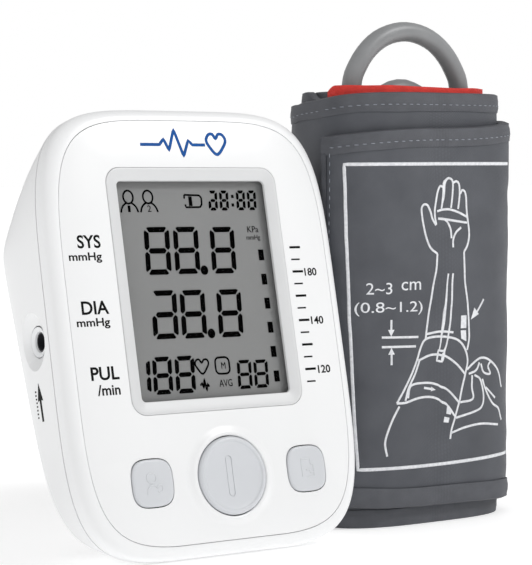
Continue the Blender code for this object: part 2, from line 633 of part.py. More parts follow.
pump_centre = (0, PUMP_Y, PUMP_Z)
motor_start = MOTOR_X - MOTOR_LENGTH / 2
motor_end = MOTOR_X + MOTOR_LENGTH / 2
crank_start = motor_end + GAP
crank_end = crank_start + 0.0030
pump_motor = place("pump_motor", cylinder("pump_motor", PUMP_RADIUS, motor_start, motor_end, "X", pump_centre, 28),
                   STEEL, monitor_frame)
cut(pump_motor, cylinder("motor_bore", 0.0010 + GAP, motor_end - 0.0100, motor_end + 0.002, "X", pump_centre, 14))
crank_rows = [(crank_start - 0.0080, 0.0010), (crank_start, 0.0010), (crank_start, CRANK_RADIUS),
              (crank_end, CRANK_RADIUS)]
pump_crank = place("pump_crank", turned("pump_crank", crank_rows, "X", (0, 0, 0), 20), STEEL, monitor_frame,
                   pump_centre)
join(pump_crank, cylinder("crank_pin", 0.0008, crank_end - 0.0005, crank_end + 0.0030, "X",
                          (0, PUMP_Y + 0.0020, PUMP_Z), 10))
head_start = crank_start + 0.0004
head_end = head_start + HEAD_LENGTH
head_half = PUMP_RADIUS - 0.0012
pump_head = place("pump_head", block("pump_head", (head_start, PUMP_Y - head_half, PUMP_Z - head_half),
                                     (head_end, PUMP_Y + head_half, PUMP_Z + head_half), 0.0010), DARK,
                  monitor_frame)
cut(pump_head, cylinder("head_space", CRANK_RADIUS + 2 * GAP, head_start - 0.002, crank_end + 0.0045, "X",
                        pump_centre, 24))
outlet = (head_end + 0.0030, PUMP_Y, PUMP_Z + 0.0040)
join(pump_head, cylinder("head_outlet", AIR_TUBE_RADIUS - GAP, head_end - 0.0005, outlet[0], "X",
                         (0, outlet[1], outlet[2]), 12))

valve_x = 0.0290
valve_centre = (0, 0.0140, 0.0240)
exhaust_valve = place("exhaust_valve", cylinder("exhaust_valve", VALVE_RADIUS, valve_x, valve_x + VALVE_LENGTH, "X",
                                                valve_centre, 20), STEEL, monitor_frame)
cut(exhaust_valve, cylinder("valve_bore", 0.0021 + GAP, valve_x - 0.001, valve_x + 0.0095, "X", valve_centre, 14))
place("valve_armature", cylinder("valve_armature", 0.0021, -0.0010, 0.0078, "X", (0, 0, 0), 14), DARK, monitor_frame,
      (valve_x, valve_centre[1], valve_centre[2]))

manifold_low = Vector((0.0290, 0.0125, 0.0365))
manifold_high = Vector((0.0370, 0.0195, 0.0435))
place("air_manifold", block("air_manifold", manifold_low, manifold_high, 0.0008), SILICONE, monitor_frame)

wall_x = -(HALF_WIDTH - 0.0008)
jack_outer = wall_x + 0.0005
jack_centre = (0, JACK_Y, JACK_Z)
flange_x = wall_x + WALL + JACK_FLANGE_GAP
flange_end = flange_x + 0.0014
jack_rows = [(jack_outer, JACK_BORE), (jack_outer, JACK_NECK), (flange_x, JACK_NECK),
             (flange_x, JACK_FLANGE), (flange_end, JACK_FLANGE), (flange_end, JACK_NECK),
             (wall_x + 0.0125, JACK_NECK), (wall_x + 0.0125, 0.0010), (wall_x + 0.0108, 0.0010),
             (wall_x + 0.0108, JACK_BORE)]
jack = bmesh.new()
jack_rings = []
for along, radius in jack_rows:
    ring = []
    for step in range(28):
        angle = 2 * math.pi * step / 28
        ring.append(jack.verts.new((along, JACK_Y + radius * math.cos(angle), JACK_Z + radius * math.sin(angle))))
    jack_rings.append(ring)
for near, far in zip(jack_rings, jack_rings[1:] + jack_rings[:1]):
    for i in range(28):
        j = (i + 1) % 28
        jack.faces.new((near[i], near[j], far[j], far[i]))
air_jack = place("air_jack", mesh_of(jack, "air_jack"), WHITE, monitor_frame)
barb_x = wall_x + 0.0090
join(air_jack, cylinder("jack_barb", AIR_TUBE_RADIUS - GAP, JACK_NECK - 0.0008, JACK_NECK + 0.0040, "Z",
                        (barb_x, JACK_Y, JACK_Z), 12))
cut(rear_shell, cylinder("jack_hole", JACK_NECK + GAP, wall_x - 0.003, wall_x + 0.006, "X", jack_centre, 28))
dish_rows = [(wall_x - 0.0030, JACK_DISH + 0.0012), (wall_x + 0.0002, JACK_DISH), (wall_x + 0.0013, JACK_DISH * 0.72)]
cut(rear_shell, turned("jack_dish", dish_rows, "X", jack_centre, 32))

jack_tube_start = (barb_x, JACK_Y, JACK_Z + JACK_NECK + 0.0040 + GAP)
tube("jack_tube", smooth_path([
    jack_tube_start, (barb_x, JACK_Y, 0.020), (barb_x + 0.0015, JACK_Y - 0.003, 0.036), (-0.030, 0.0135, 0.0475),
    (-0.012, 0.0130, 0.0490), (0.010, 0.0130, 0.0480), (0.0195, 0.0136, 0.0445), (0.0252, 0.0145, 0.0417),
    (manifold_low.x - GAP, 0.0145, 0.0417)], 0.004), AIR_TUBE_RADIUS, SILICONE, monitor_frame, 1)
tube("pump_tube", smooth_path([
    (outlet[0] + GAP, outlet[1], outlet[2]), (outlet[0] + 0.0030, outlet[1], outlet[2]),
    (0.0258, 0.0178, 0.0385), (manifold_low.x - GAP, 0.0178, 0.0385)], 0.002), AIR_TUBE_RADIUS, SILICONE,
     monitor_frame, 1)
tube("valve_tube", [(0.0335, 0.0145, manifold_low.z - GAP), (0.0335, 0.0145, valve_centre[2] + VALVE_RADIUS + GAP)],
     AIR_TUBE_RADIUS, SILICONE, monitor_frame, 1)
nozzle_end = chip_front + 0.0060 + GAP
tube("sensor_tube", smooth_path([
    (manifold_high.x + GAP, 0.0160, 0.0400), (0.0402, 0.0160, 0.0400), (0.0446, 0.0155, 0.0300),
    (0.0446, 0.0140, 0.0050), (0.0425, 0.0140, -0.0200), (0.0400, 0.0160, -0.0350), (0.0345, 0.0200, -0.0440),
    (0.0285, 0.0215, -0.0460), (sensor_centre[0], nozzle_end + 0.0032, sensor_centre[2]),
    (sensor_centre[0], nozzle_end, sensor_centre[2])], 0.004), AIR_TUBE_RADIUS, SILICONE, monitor_frame, 1)

# Screws that hold the shells together, and the feet under the back

screw_places = [(-UPPER_SCREW[0], UPPER_SCREW[1]), UPPER_SCREW, (-LOWER_SCREW[0], LOWER_SCREW[1]), LOWER_SCREW]
for number, (x, z) in enumerate(screw_places, 1):
    centre = (x, 0, z)
    join(front_shell, cylinder(f"front_boss_{number}", 0.0038, floor_back - 0.0005, REAR_RIM - GAP, "Y", centre, 18))
    cut(front_shell, cylinder(f"front_bore_{number}", SCREW_SHANK_RADIUS + GAP, floor_back + 0.0003, 0.012, "Y",
                              centre, 14))
    join(rear_shell, cylinder(f"rear_boss_{number}", SCREW_BOSS_RADIUS, REAR_RIM, back_depth(z) - 0.0012, "Y",
                              centre, 20))
    cut(rear_shell, cylinder(f"rear_bore_{number}", SCREW_SHANK_RADIUS + GAP, 0.004, SCREW_SEAT_Y + 0.0005, "Y",
                             centre, 14))
    cut(rear_shell, cylinder(f"rear_counterbore_{number}", SCREW_HEAD_RADIUS + 2 * GAP, SCREW_SEAT_Y, 0.045, "Y",
                             centre, 16))
    screw_rows = [(floor_back + 0.0008, SCREW_SHANK_RADIUS), (SCREW_SEAT_Y + GAP, SCREW_SHANK_RADIUS),
                  (SCREW_SEAT_Y + GAP, SCREW_HEAD_RADIUS), (SCREW_SEAT_Y + GAP + 0.0014, SCREW_HEAD_RADIUS * 0.85)]
    place(f"housing_screw_{number}", turned(f"housing_screw_{number}", screw_rows, "Y", centre, 12), STEEL,
          monitor_frame)

foot_places = [(-UPPER_FOOT[0], UPPER_FOOT[1]), UPPER_FOOT, (-LOWER_FOOT[0], LOWER_FOOT[1]), LOWER_FOOT]
for number, (x, z) in enumerate(foot_places, 1):
    centre = (x, 0, z)
    cut(rear_shell, cylinder(f"foot_seat_{number}", FOOT_RADIUS + GAP, -FOOT_SEAT - GAP, 0.006, "Y", centre, 20), back_frame)
    foot_top = FOOT_HEIGHT - FOOT_SEAT
    rows = [(-FOOT_SEAT, FOOT_RADIUS), (foot_top - 0.0005, FOOT_RADIUS), (foot_top, FOOT_RADIUS * 0.85)]
    place(f"foot_{number}", turned(f"foot_{number}", rows, "Y", centre, 16), RUBBER, back_frame)

# Cuff: one strip rolled up, drawn as outer cloth, air bladder and lining with a gap between turns

roll_frame = frame_empty("roll_frame", (CUFF_X, CUFF_Y, 0), 0)
full_angle = 2 * math.pi * CUFF_TURNS


def roll_point(turned_by, offset):
    """A point of the roll's spiral in plan, turned_by radians from the inner end, moved outwards by offset."""
    angle = FLAP_ANGLE + full_angle - turned_by
    growth = CUFF_PITCH * turned_by / (2 * math.pi) + STACK_HALF + offset
    across = math.copysign(abs(math.cos(angle)) ** (2 / ROLL_POWER), math.cos(angle))
    back = math.copysign(abs(math.sin(angle)) ** (2 / ROLL_POWER), math.sin(angle))
    return ((CORE_HALF_WIDTH + growth) * across, (CORE_HALF_DEPTH + growth) * back)


def flap_share(turned_by):
    """0 on the inner turns, 1 on the narrower outer flap."""
    start = full_angle - 2 * math.pi * 1.12
    return min(1.0, max(0.0, (turned_by - start) / (2 * math.pi * 0.10)))


def rolled_sheet(name, look, offset, thickness, start, end, lift, drop, steps_per_turn=28):
    """A sheet in the roll between two angles; its edges are lift above the surface and drop below the rim."""
    bm = bmesh.new()
    count = max(3, round((end - start) / (2 * math.pi) * steps_per_turn))
    columns = []
    for step in range(count + 1):
        turned_by = start + (end - start) * step / count
        share = flap_share(turned_by)
        low = lift + FLAP_RISE * share
        high = CUFF_HEIGHT - drop - FLAP_DROP * share
        column = []
        for extra, z in ((thickness / 2, low), (thickness / 2, high), (-thickness / 2, high), (-thickness / 2, low)):
            x, y = roll_point(turned_by, offset + extra)
            column.append(bm.verts.new((x, y, z)))
        columns.append(column)
    for near, far in zip(columns, columns[1:]):
        for i in range(4):
            j = (i + 1) % 4
            bm.faces.new((near[i], near[j], far[j], far[i]))
    bm.faces.new(columns[0])
    bm.faces.new(columns[-1])
    return place(name, mesh_of(bm, name), look, roll_frame)


rolled_sheet("cuff_cloth", CLOTH, SHEET_OFFSET, CLOTH_THICKNESS, 0, full_angle, 0, 0)
rolled_sheet("cuff_lining", LINING, -SHEET_OFFSET, CLOTH_THICKNESS, 0, full_angle, 0, 0)
rolled_sheet("cuff_bladder", BLADDER, 0, BLADDER_THICKNESS, 0.10 * full_angle, 0.52 * full_angle, 0.010, 0.014)
red_start = full_angle - 2 * math.pi * 2.30
rolled_sheet("red_edging", RED, 0, BLADDER_THICKNESS, red_start, red_start + 2 * math.pi * 0.95,
             CUFF_HEIGHT - 0.009, -EDGING_RISE)

# Hose port at the foot of the core, the hose and its plug

hose_frame = frame_empty("hose_frame", (HOSE_X, 0, 0), 0, roll_frame)
place("hose_port", cylinder("hose_port", 0.0034, PORT_TOP - 0.0120, PORT_TOP, "Z", (-ARCH_RADIUS, -LEG_OFFSET, 0), 20),
      DARK, hose_frame)


def arc(centre_x, centre_z, radius, first, last, steps, y_first, y_last):
    """Points along an arc in the X-Z plane, moving from depth y_first to y_last on the way."""
    points = []
    for step in range(steps + 1):
        share = step / steps
        angle = math.radians(first + (last - first) * share)
        points.append((centre_x + radius * math.cos(angle), y_first + (y_last - y_first) * share,
                       centre_z + radius * math.sin(angle)))
    return points


tail = math.radians(TAIL_END_ANGLE)
tail_way = Vector((math.sin(tail), 0, -math.cos(tail)))
tail_bend = Vector((TAIL_X + TAIL_RADIUS * math.cos(tail), LEG_OFFSET,
                    TAIL_ARC_CENTRE_Z + TAIL_RADIUS * math.sin(tail)))
tail_end = tail_bend + TAIL_STRAIGHT * tail_way
hose_route = [(-ARCH_RADIUS, -LEG_OFFSET, PORT_TOP + GAP), (-ARCH_RADIUS, -LEG_OFFSET, 0.062),
              (-ARCH_RADIUS, -LEG_OFFSET, 0.102)]
hose_route += arc(0, ARCH_CENTRE_Z, ARCH_RADIUS, 180, 0, 6, -LEG_OFFSET, -LEG_OFFSET)
hose_route += [(ARCH_RADIUS, -LEG_OFFSET, 0.100), (ARCH_RADIUS, -LEG_OFFSET, 0.062)]
hose_route += arc(0, FOLD_CENTRE_Z, ARCH_RADIUS, 0, -180, 6, -LEG_OFFSET, LEG_OFFSET)
hose_route += [(-0.0190, LEG_OFFSET, 0.058), (-0.0130, LEG_OFFSET, 0.095)]
hose_route += arc(TAIL_X, TAIL_ARC_CENTRE_Z, TAIL_RADIUS, 180, TAIL_END_ANGLE, 5, LEG_OFFSET, LEG_OFFSET)
hose_route += [tail_bend + 0.6 * TAIL_STRAIGHT * tail_way, tail_end]
tube("air_hose", smooth_path(hose_route, 0.0095), HOSE_RADIUS, HOSE, hose_frame, 2)

plug_frame = bpy.data.objects.new("plug_frame", None)
parts.objects.link(plug_frame)
plug_frame.parent = hose_frame
plug_frame.location = tail_end
plug_frame.rotation_euler = (0, math.pi - tail, 0)
plug_rows = [(GAP, 0.0030), (GAP, 0.0038), (0.0030, 0.0041), (0.0085, 0.0041), (0.0092, 0.0030), (0.0102, 0.0026),
             (0.0162, 0.0024)]
place("air_plug", turned("air_plug", plug_rows, "Z", (0, 0, 0), 20), DARK, plug_frame)
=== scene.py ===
import bisect, math, random
import bmesh, bpy
from mathutils import Matrix, Vector, noise
from mathutils.bvhtree import BVHTree


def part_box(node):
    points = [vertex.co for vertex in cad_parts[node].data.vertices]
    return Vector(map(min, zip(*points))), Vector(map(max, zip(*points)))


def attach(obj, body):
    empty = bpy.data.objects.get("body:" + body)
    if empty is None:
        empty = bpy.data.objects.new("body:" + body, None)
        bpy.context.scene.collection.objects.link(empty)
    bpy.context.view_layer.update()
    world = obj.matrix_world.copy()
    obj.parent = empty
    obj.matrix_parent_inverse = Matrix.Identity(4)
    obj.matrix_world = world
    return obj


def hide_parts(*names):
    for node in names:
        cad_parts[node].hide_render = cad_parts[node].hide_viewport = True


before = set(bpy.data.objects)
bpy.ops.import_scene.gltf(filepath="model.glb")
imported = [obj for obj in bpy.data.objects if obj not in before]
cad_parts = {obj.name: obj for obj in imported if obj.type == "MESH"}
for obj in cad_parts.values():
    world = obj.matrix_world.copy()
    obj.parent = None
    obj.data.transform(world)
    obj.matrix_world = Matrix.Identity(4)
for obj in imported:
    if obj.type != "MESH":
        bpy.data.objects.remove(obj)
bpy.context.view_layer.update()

mm = 0.001
random.seed(11)
print("frame loaded")

# camera, at the left of the front and a little above the middle of the roll
view = {"place": (-0.369964, -0.535512, 0.113124), "tilt": math.radians(87.07), "turn": math.radians(-34.19),
        "lens": 129.9, "sensor": 36, "nearest": 0.01}
bpy.ops.object.camera_add(location=view["place"], rotation=(view["tilt"], 0, view["turn"]))
viewCamera = bpy.context.object
viewCamera.name = "studioCamera"
viewCamera.data.lens = view["lens"]
viewCamera.data.sensor_width = view["sensor"]
viewCamera.data.clip_start = view["nearest"]
bpy.context.scene.camera = viewCamera
bpy.context.scene.view_settings.view_transform = "Standard"


# working tools

def clearSelection():
    if bpy.context.object and bpy.context.object.mode != "OBJECT":
        bpy.ops.object.mode_set(mode="OBJECT")
    bpy.ops.object.select_all(action="DESELECT")


def activate(piece):
    clearSelection()
    piece.select_set(True)
    bpy.context.view_layer.objects.active = piece


def newest(name):
    piece = bpy.context.object
    piece.name = piece.data.name = name
    return piece


def applied(piece, kind, **settings):
    activate(piece)
    modifier = piece.modifiers.new(kind.title(), kind)
    for key, value in settings.items():
        setattr(modifier, key, value)
    bpy.ops.object.modifier_apply(modifier=modifier.name)
    return piece


def carve(piece, cutter, way="DIFFERENCE"):
    applied(piece, "BOOLEAN", object=cutter, operation=way, solver="EXACT")
    bpy.data.objects.remove(cutter, do_unlink=True)
    return piece


def box(name, low, high, bevel=0.0, segments=2):
    low, high = Vector(low), Vector(high)
    clearSelection()
    bpy.ops.mesh.primitive_cube_add(size=1, location=(low + high) / 2)
    piece = newest(name)
    piece.scale = high - low
    bpy.ops.object.transform_apply(location=True, rotation=True, scale=True)
    if bevel:
        applied(piece, "BEVEL", width=bevel, segments=segments, limit_method="NONE")
    return piece


def ringBody(name, rings, joined=False):
    clearSelection()
    bpy.ops.mesh.primitive_circle_add(vertices=len(rings[0]), radius=0.01)
    piece = newest(name)
    bpy.ops.object.mode_set(mode="EDIT")
    bpy.ops.mesh.select_all(action="SELECT")
    mesh = bmesh.from_edit_mesh(piece.data)
    turn = mesh.verts.layers.int.new("turn")
    for index, vert in enumerate(mesh.verts):
        vert[turn] = index
    for step, ring in enumerate(rings):
        if step:
            bpy.ops.mesh.extrude_edges_move()
        mesh = bmesh.from_edit_mesh(piece.data)
        turn = mesh.verts.layers.int["turn"]
        for vert in mesh.verts:
            if vert.select:
                vert.co = ring[vert[turn]]
        bmesh.update_edit_mesh(piece.data)
    bpy.ops.mesh.select_all(action="SELECT")
    if joined:
        bpy.ops.mesh.remove_doubles(threshold=1e-7)
    else:
        bpy.ops.mesh.fill_holes(sides=0)
    bpy.ops.mesh.normals_make_consistent(inside=False)
    bpy.ops.object.mode_set(mode="OBJECT")
    return piece


def spunBody(name, profile, steps=64):
    clearSelection()
    bpy.ops.mesh.primitive_plane_add(size=0.001)
    piece = newest(name)
    bpy.ops.object.mode_set(mode="EDIT")
    bpy.ops.mesh.select_all(action="SELECT")
    bpy.ops.mesh.merge(type="CENTER")
    bpy.ops.transform.translate(value=(profile[0][0], 0, profile[0][1]))
    for near, far in zip(profile, profile[1:]):
        bpy.ops.mesh.extrude_vertices_move(
            TRANSFORM_OT_translate={"value": (far[0] - near[0], 0, far[1] - near[1])})
    bpy.ops.mesh.select_all(action="SELECT")
    bpy.ops.mesh.spin(steps=steps, angle=2 * math.pi, center=(0, 0, 0), axis=(0, 0, 1))
    bpy.ops.mesh.select_all(action="SELECT")
    bpy.ops.mesh.remove_doubles(threshold=1e-6)
    bpy.ops.mesh.normals_make_consistent(inside=False)
    bpy.ops.object.mode_set(mode="OBJECT")
    return piece


def squaredWay(angle, power):      # a direction on a circle that is pressed towards a square
    across = math.copysign(abs(math.cos(angle)) ** (2 / power), math.cos(angle))
    up = math.copysign(abs(math.sin(angle)) ** (2 / power), math.sin(angle))
    return across, up


def roundedOutline(width, height, corner, arcSteps=10):
    points = []
    for side, end, first in ((1, 1, 0), (-1, 1, 90), (-1, -1, 180), (1, -1, 270)):
        for step in range(arcSteps + 1):
            angle = math.radians(first + 90 * step / arcSteps)
            points.append((side * (width / 2 - corner) + corner * math.cos(angle),
                           end * (height / 2 - corner) + corner * math.sin(angle)))
    return points


def meshOf(name, curve):
    piece = bpy.data.objects.new(name, curve)
    bpy.context.scene.collection.objects.link(piece)
    activate(piece)
    bpy.ops.object.convert(target="MESH")
    return newest(name)


def flatShapes(name, outlines, thickness):
    curve = bpy.data.curves.new(name, "CURVE")
    curve.dimensions = "2D"
    curve.fill_mode = "BOTH"
    curve.extrude = thickness / 2
    for outline in outlines:
        line = curve.splines.new("POLY")
        line.points.add(len(outline) - 1)
        for point, (x, y) in zip(line.points, outline):
            point.co = (x, y, 0, 1)
        line.use_cyclic_u = True
    return meshOf(name, curve)


def smoothLine(points, spacing, closed=False):
    points = [Vector((*point, 0)[:3]) for point in points]
    made, count = [], len(points)
    spans = count if closed else count - 1
    for i in range(spans):
        if closed:
            a, b, c, d = (points[(i + k) % count] for k in (-1, 0, 1, 2))
        else:
            b, c = points[i], points[i + 1]
            a = points[i - 1] if i else 2 * b - c
            d = points[i + 2] if i + 2 < count else 2 * c - b
        steps = max(1, round((c - b).length / spacing))
        for step in range(steps):
            t = step / steps
            made.append(0.5 * ((2 * b) + (c - a) * t + (2 * a - 5 * b + 4 * c - d) * t * t
                               + (3 * b - a - 3 * c + d) * t ** 3))
    if not closed:
        made.append(points[-1])
    return made


def drawnLines(name, lines, width, thickness, spacing=1.0 * mm, straight=False):
    curve = bpy.data.curves.new(name, "CURVE")
    curve.dimensions = "3D"
    curve.bevel_depth = width / 2
    curve.bevel_resolution = 1
    curve.use_fill_caps = True
    for points in lines:
        closed = points[0] == points[-1]
        if straight:
            path = [Vector((*point, 0)) for point in points]
            dense = [path[0]]
            for near, far in zip(path, path[1:]):
                steps = max(1, round((far - near).length / spacing))
                dense += [near.lerp(far, (step + 1) / steps) for step in range(steps)]
            path = dense[:-1] if closed else dense
        else:
            path = smoothLine(points[:-1] if closed else points, spacing, closed)
        line = curve.splines.new("POLY")
        line.points.add(len(path) - 1)
        for point, place in zip(line.points, path):
            point.co = (*place, 1)
        line.use_cyclic_u = closed
    piece = meshOf(name, curve)
    for vert in piece.data.vertices:
        vert.co.z *= thickness / width
    return piece


def lettering(name, words, left, right, low, high, thickness=0.06 * mm, bold=0.0):
    clearSelection()
    bpy.ops.object.text_add()
    writing = newest(name)
    writing.data.body = words
    writing.data.size = 4 * mm
    writing.data.resolution_u = 4
    writing.data.extrude = thickness / 2
    writing.data.offset = bold
    bpy.ops.object.convert(target="MESH")
    writing = newest(name)
    xs = [vert.co.x for vert in writing.data.vertices]
    ys = [vert.co.y for vert in writing.data.vertices]
    across = (right - left) / (max(xs) - min(xs))
    up = (high - low) / (max(ys) - min(ys))
    for vert in writing.data.vertices:
        vert.co.x = left + (vert.co.x - min(xs)) * across
        vert.co.y = low + (vert.co.y - min(ys)) * up
    return writing


def joinedUp(name, pieces):
    clearSelection()
    for piece in pieces:
        piece.select_set(True)
    bpy.context.view_layer.objects.active = pieces[0]
    bpy.ops.object.join()
    return newest(name)


def settle(piece, place, finish, body, nodes=(), smooth=35):
    activate(piece)
    bpy.ops.object.transform_apply(location=True, rotation=True, scale=True)
    piece.data.transform(place)
    piece.data.materials.clear()
    piece.data.materials.append(finish)
    for face in piece.data.polygons:
        face.material_index = 0
    if smooth:
        bpy.ops.object.shade_smooth_by_angle(angle=math.radians(smooth))
    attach(piece, body)
    if nodes:
        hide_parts(*nodes)
    return piece


# finishes

def moulded(name, colour, shade, roughness, size, bump=0.04, metallic=0.0, alpha=1.0, specular=0.5):
    finish = bpy.data.materials.new(name)
    finish.use_nodes = True
    nodes, links = finish.node_tree.nodes, finish.node_tree.links
    shader = nodes["Principled BSDF"]
    shader.inputs["Metallic"].default_value = metallic
    shader.inputs["Alpha"].default_value = alpha
    shader.inputs["Specular IOR Level"].default_value = specular
    where = nodes.new("ShaderNodeTexCoord")
    grain = nodes.new("ShaderNodeTexNoise")
    grain.inputs["Scale"].default_value = 1 / size
    grain.inputs["Detail"].default_value = 4
    links.new(where.outputs["Object"], grain.inputs["Vector"])
    tone = nodes.new("ShaderNodeValToRGB")
    tone.color_ramp.elements[0].position = 0.3
    tone.color_ramp.elements[1].position = 0.7
    tone.color_ramp.elements[0].color = (*shade, 1)
    tone.color_ramp.elements[1].color = (*colour, 1)
    links.new(grain.outputs["Fac"], tone.inputs["Fac"])
    links.new(tone.outputs["Color"], shader.inputs["Base Color"])
    spread = nodes.new("ShaderNodeMapRange")
    spread.inputs["To Min"].default_value = roughness * 0.9
    spread.inputs["To Max"].default_value = roughness * 1.1
    links.new(grain.outputs["Fac"], spread.inputs["Value"])
    links.new(spread.outputs["Result"], shader.inputs["Roughness"])
    relief = nodes.new("ShaderNodeBump")
    relief.inputs["Strength"].default_value = bump
    relief.inputs["Distance"].default_value = 0.0002
    links.new(grain.outputs["Fac"], relief.inputs["Height"])
    links.new(relief.outputs["Normal"], shader.inputs["Normal"])
    return finish


def woven(name, colour, shade, thread, roughness, bump, mottle=0.012, sheen=0.0):
    finish = moulded(name, colour, shade, roughness, mottle, bump=0.0)
    nodes, links = finish.node_tree.nodes, finish.node_tree.links
    shader = nodes["Principled BSDF"]
    shader.inputs["Sheen Weight"].default_value = sheen
    shader.inputs["Sheen Roughness"].default_value = 0.4
    flat = nodes.new("ShaderNodeUVMap")
    flat.uv_map = "weave"
    bands = []
    for direction in ("X", "Y"):
        band = nodes.new("ShaderNodeTexWave")
        band.wave_type = "BANDS"
        band.bands_direction = direction
        band.inputs["Scale"].default_value = 2 * math.pi / (20 * thread)
        links.new(flat.outputs["UV"], band.inputs["Vector"])
        bands.append(band)
    cross = nodes.new("ShaderNodeMath")
    cross.operation = "SUBTRACT"
    links.new(bands[0].outputs["Fac"], cross.inputs[0])
    links.new(bands[1].outputs["Fac"], cross.inputs[1])
    raised = nodes.new("ShaderNodeMath")
    raised.operation = "ABSOLUTE"
    links.new(cross.outputs[0], raised.inputs[0])
    tone = next(node for node in nodes if node.type == "VALTORGB")
    lift = nodes.new("ShaderNodeMix")
    lift.data_type = "RGBA"
    lift.blend_type = "MULTIPLY"
    lift.inputs["Factor"].default_value = 1.0
    darker = nodes.new("ShaderNodeMapRange")
    darker.inputs["To Min"].default_value = 0.72
    darker.inputs["To Max"].default_value = 1.25
    links.new(raised.outputs[0], darker.inputs["Value"])
    links.new(tone.outputs["Color"], lift.inputs["A"])
    links.new(darker.outputs["Result"], lift.inputs["B"])
    links.new(lift.outputs["Result"], shader.inputs["Base Color"])
    relief = next(node for node in nodes if node.type == "BUMP")
    relief.inputs["Strength"].default_value = bump
    relief.inputs["Distance"].default_value = 0.0001
    links.new(raised.outputs[0], relief.inputs["Height"])
    return finish


whiteShell = moulded("whiteShell", (0.845, 0.85, 0.855), (0.83, 0.835, 0.84), 0.34, 0.02, 0.02)
whitePanel = moulded("whitePanel", (0.84, 0.845, 0.848), (0.828, 0.832, 0.836), 0.3, 0.03, 0.015)
bezelGrey = moulded("bezelGrey", (0.66, 0.665, 0.67), (0.64, 0.645, 0.65), 0.4, 0.01, 0.03)
clearWindow = moulded("clearWindow", (0.03, 0.03, 0.03), (0.02, 0.02, 0.02), 0.06, 0.02, 0.01, alpha=0.03, specular=0.1)
displayGlass = moulded("displayGlass", (0.258, 0.261, 0.26), (0.25, 0.253, 0.252), 0.5, 0.02, 0.02, specular=0.1)
segmentBlack = moulded("segmentBlack", (0.001, 0.001, 0.001), (0.0006, 0.0006, 0.0006), 0.6, 0.002, 0.0, specular=0.0)
inkBlack = moulded("inkBlack", (0.004, 0.004, 0.004), (0.002, 0.002, 0.002), 0.6, 0.003, 0.0, specular=0.1)
inkBlue = moulded("inkBlue", (0.003, 0.085, 0.33), (0.002, 0.07, 0.28), 0.5, 0.003, 0.0, specular=0.2)
inkWhite = moulded("inkWhite", (0.80, 0.81, 0.83), (0.62, 0.63, 0.66), 0.6, 0.0012, 0.3)
buttonGrey = moulded("buttonGrey", (0.62, 0.635, 0.66), (0.60, 0.615, 0.64), 0.38, 0.01, 0.03)
darkPlastic = moulded("darkPlastic", (0.035, 0.035, 0.04), (0.02, 0.02, 0.024), 0.45, 0.002, 0.1)
boardGreen = moulded("boardGreen", (0.03, 0.2, 0.08), (0.02, 0.13, 0.05), 0.4, 0.004, 0.05)
platedSteel = moulded("platedSteel", (0.62, 0.62, 0.64), (0.5, 0.5, 0.52), 0.28, 0.003, 0.05, metallic=1.0)
cellJacket = moulded("cellJacket", (0.1, 0.16, 0.4), (0.08, 0.12, 0.3), 0.3, 0.006, 0.03, metallic=0.4)
footRubber = moulded("footRubber", (0.14, 0.14, 0.15), (0.1, 0.1, 0.105), 0.8, 0.001, 0.3)
tubeSilicone = moulded("tubeSilicone", (0.72, 0.73, 0.73), (0.64, 0.65, 0.65), 0.45, 0.004, 0.05)
jackWhite = moulded("jackWhite", (0.84, 0.85, 0.86), (0.8, 0.81, 0.82), 0.35, 0.006, 0.03)
hoseGrey = moulded("hoseGrey", (0.25, 0.255, 0.26), (0.225, 0.23, 0.235), 0.4, 0.006, 0.04)
cuffCloth = woven("cuffCloth", (0.078, 0.083, 0.097), (0.056, 0.060, 0.072), 0.5 * mm, 0.5, 0.5)
cuffTape = woven("cuffTape", (0.090, 0.094, 0.108), (0.068, 0.071, 0.082), 0.45 * mm, 0.6, 0.6, 0.006)
liningCloth = woven("liningCloth", (0.045, 0.05, 0.06), (0.03, 0.033, 0.04), 0.8 * mm, 0.8, 0.6)
redCloth = woven("redCloth", (0.95, 0.055, 0.04), (0.80, 0.04, 0.03), 0.6 * mm, 0.7, 0.6, 0.004)
threadGrey = moulded("threadGrey", (0.34, 0.36, 0.40), (0.24, 0.26, 0.30), 0.7, 0.001, 0.3)
floorWhite = moulded("floorWhite", (0.95, 0.95, 0.95), (0.94, 0.94, 0.94), 0.7, 0.3, 0.0)

for nodeNames, finish in (
        ("lcd_holder contact_strip user_switch start_switch memory_switch user_plunger start_plunger "
         "memory_plunger buzzer controller_chip pressure_sensor pump_head valve_armature hose_port", darkPlastic),
        ("contact_plate_upper contact_plate_lower pump_motor pump_crank exhaust_valve "
         "board_screw_1 board_screw_2 housing_screw_1 housing_screw_2 housing_screw_3 housing_screw_4 "
         "battery_spring_1 battery_spring_2 battery_spring_3 battery_spring_4", platedSteel),
        ("battery_1 battery_2 battery_3 battery_4", cellJacket), ("main_board", boardGreen),
        ("foot_1 foot_2 foot_3 foot_4", footRubber), ("lcd_glass", displayGlass),
        ("air_manifold jack_tube pump_tube valve_tube sensor_tube", tubeSilicone)):
    for nodeName in nodeNames.split():
        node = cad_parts[nodeName]
        node.data.materials.clear()
        node.data.materials.append(finish)
print("finishes ready")


# where the monitor's face and the roll stand

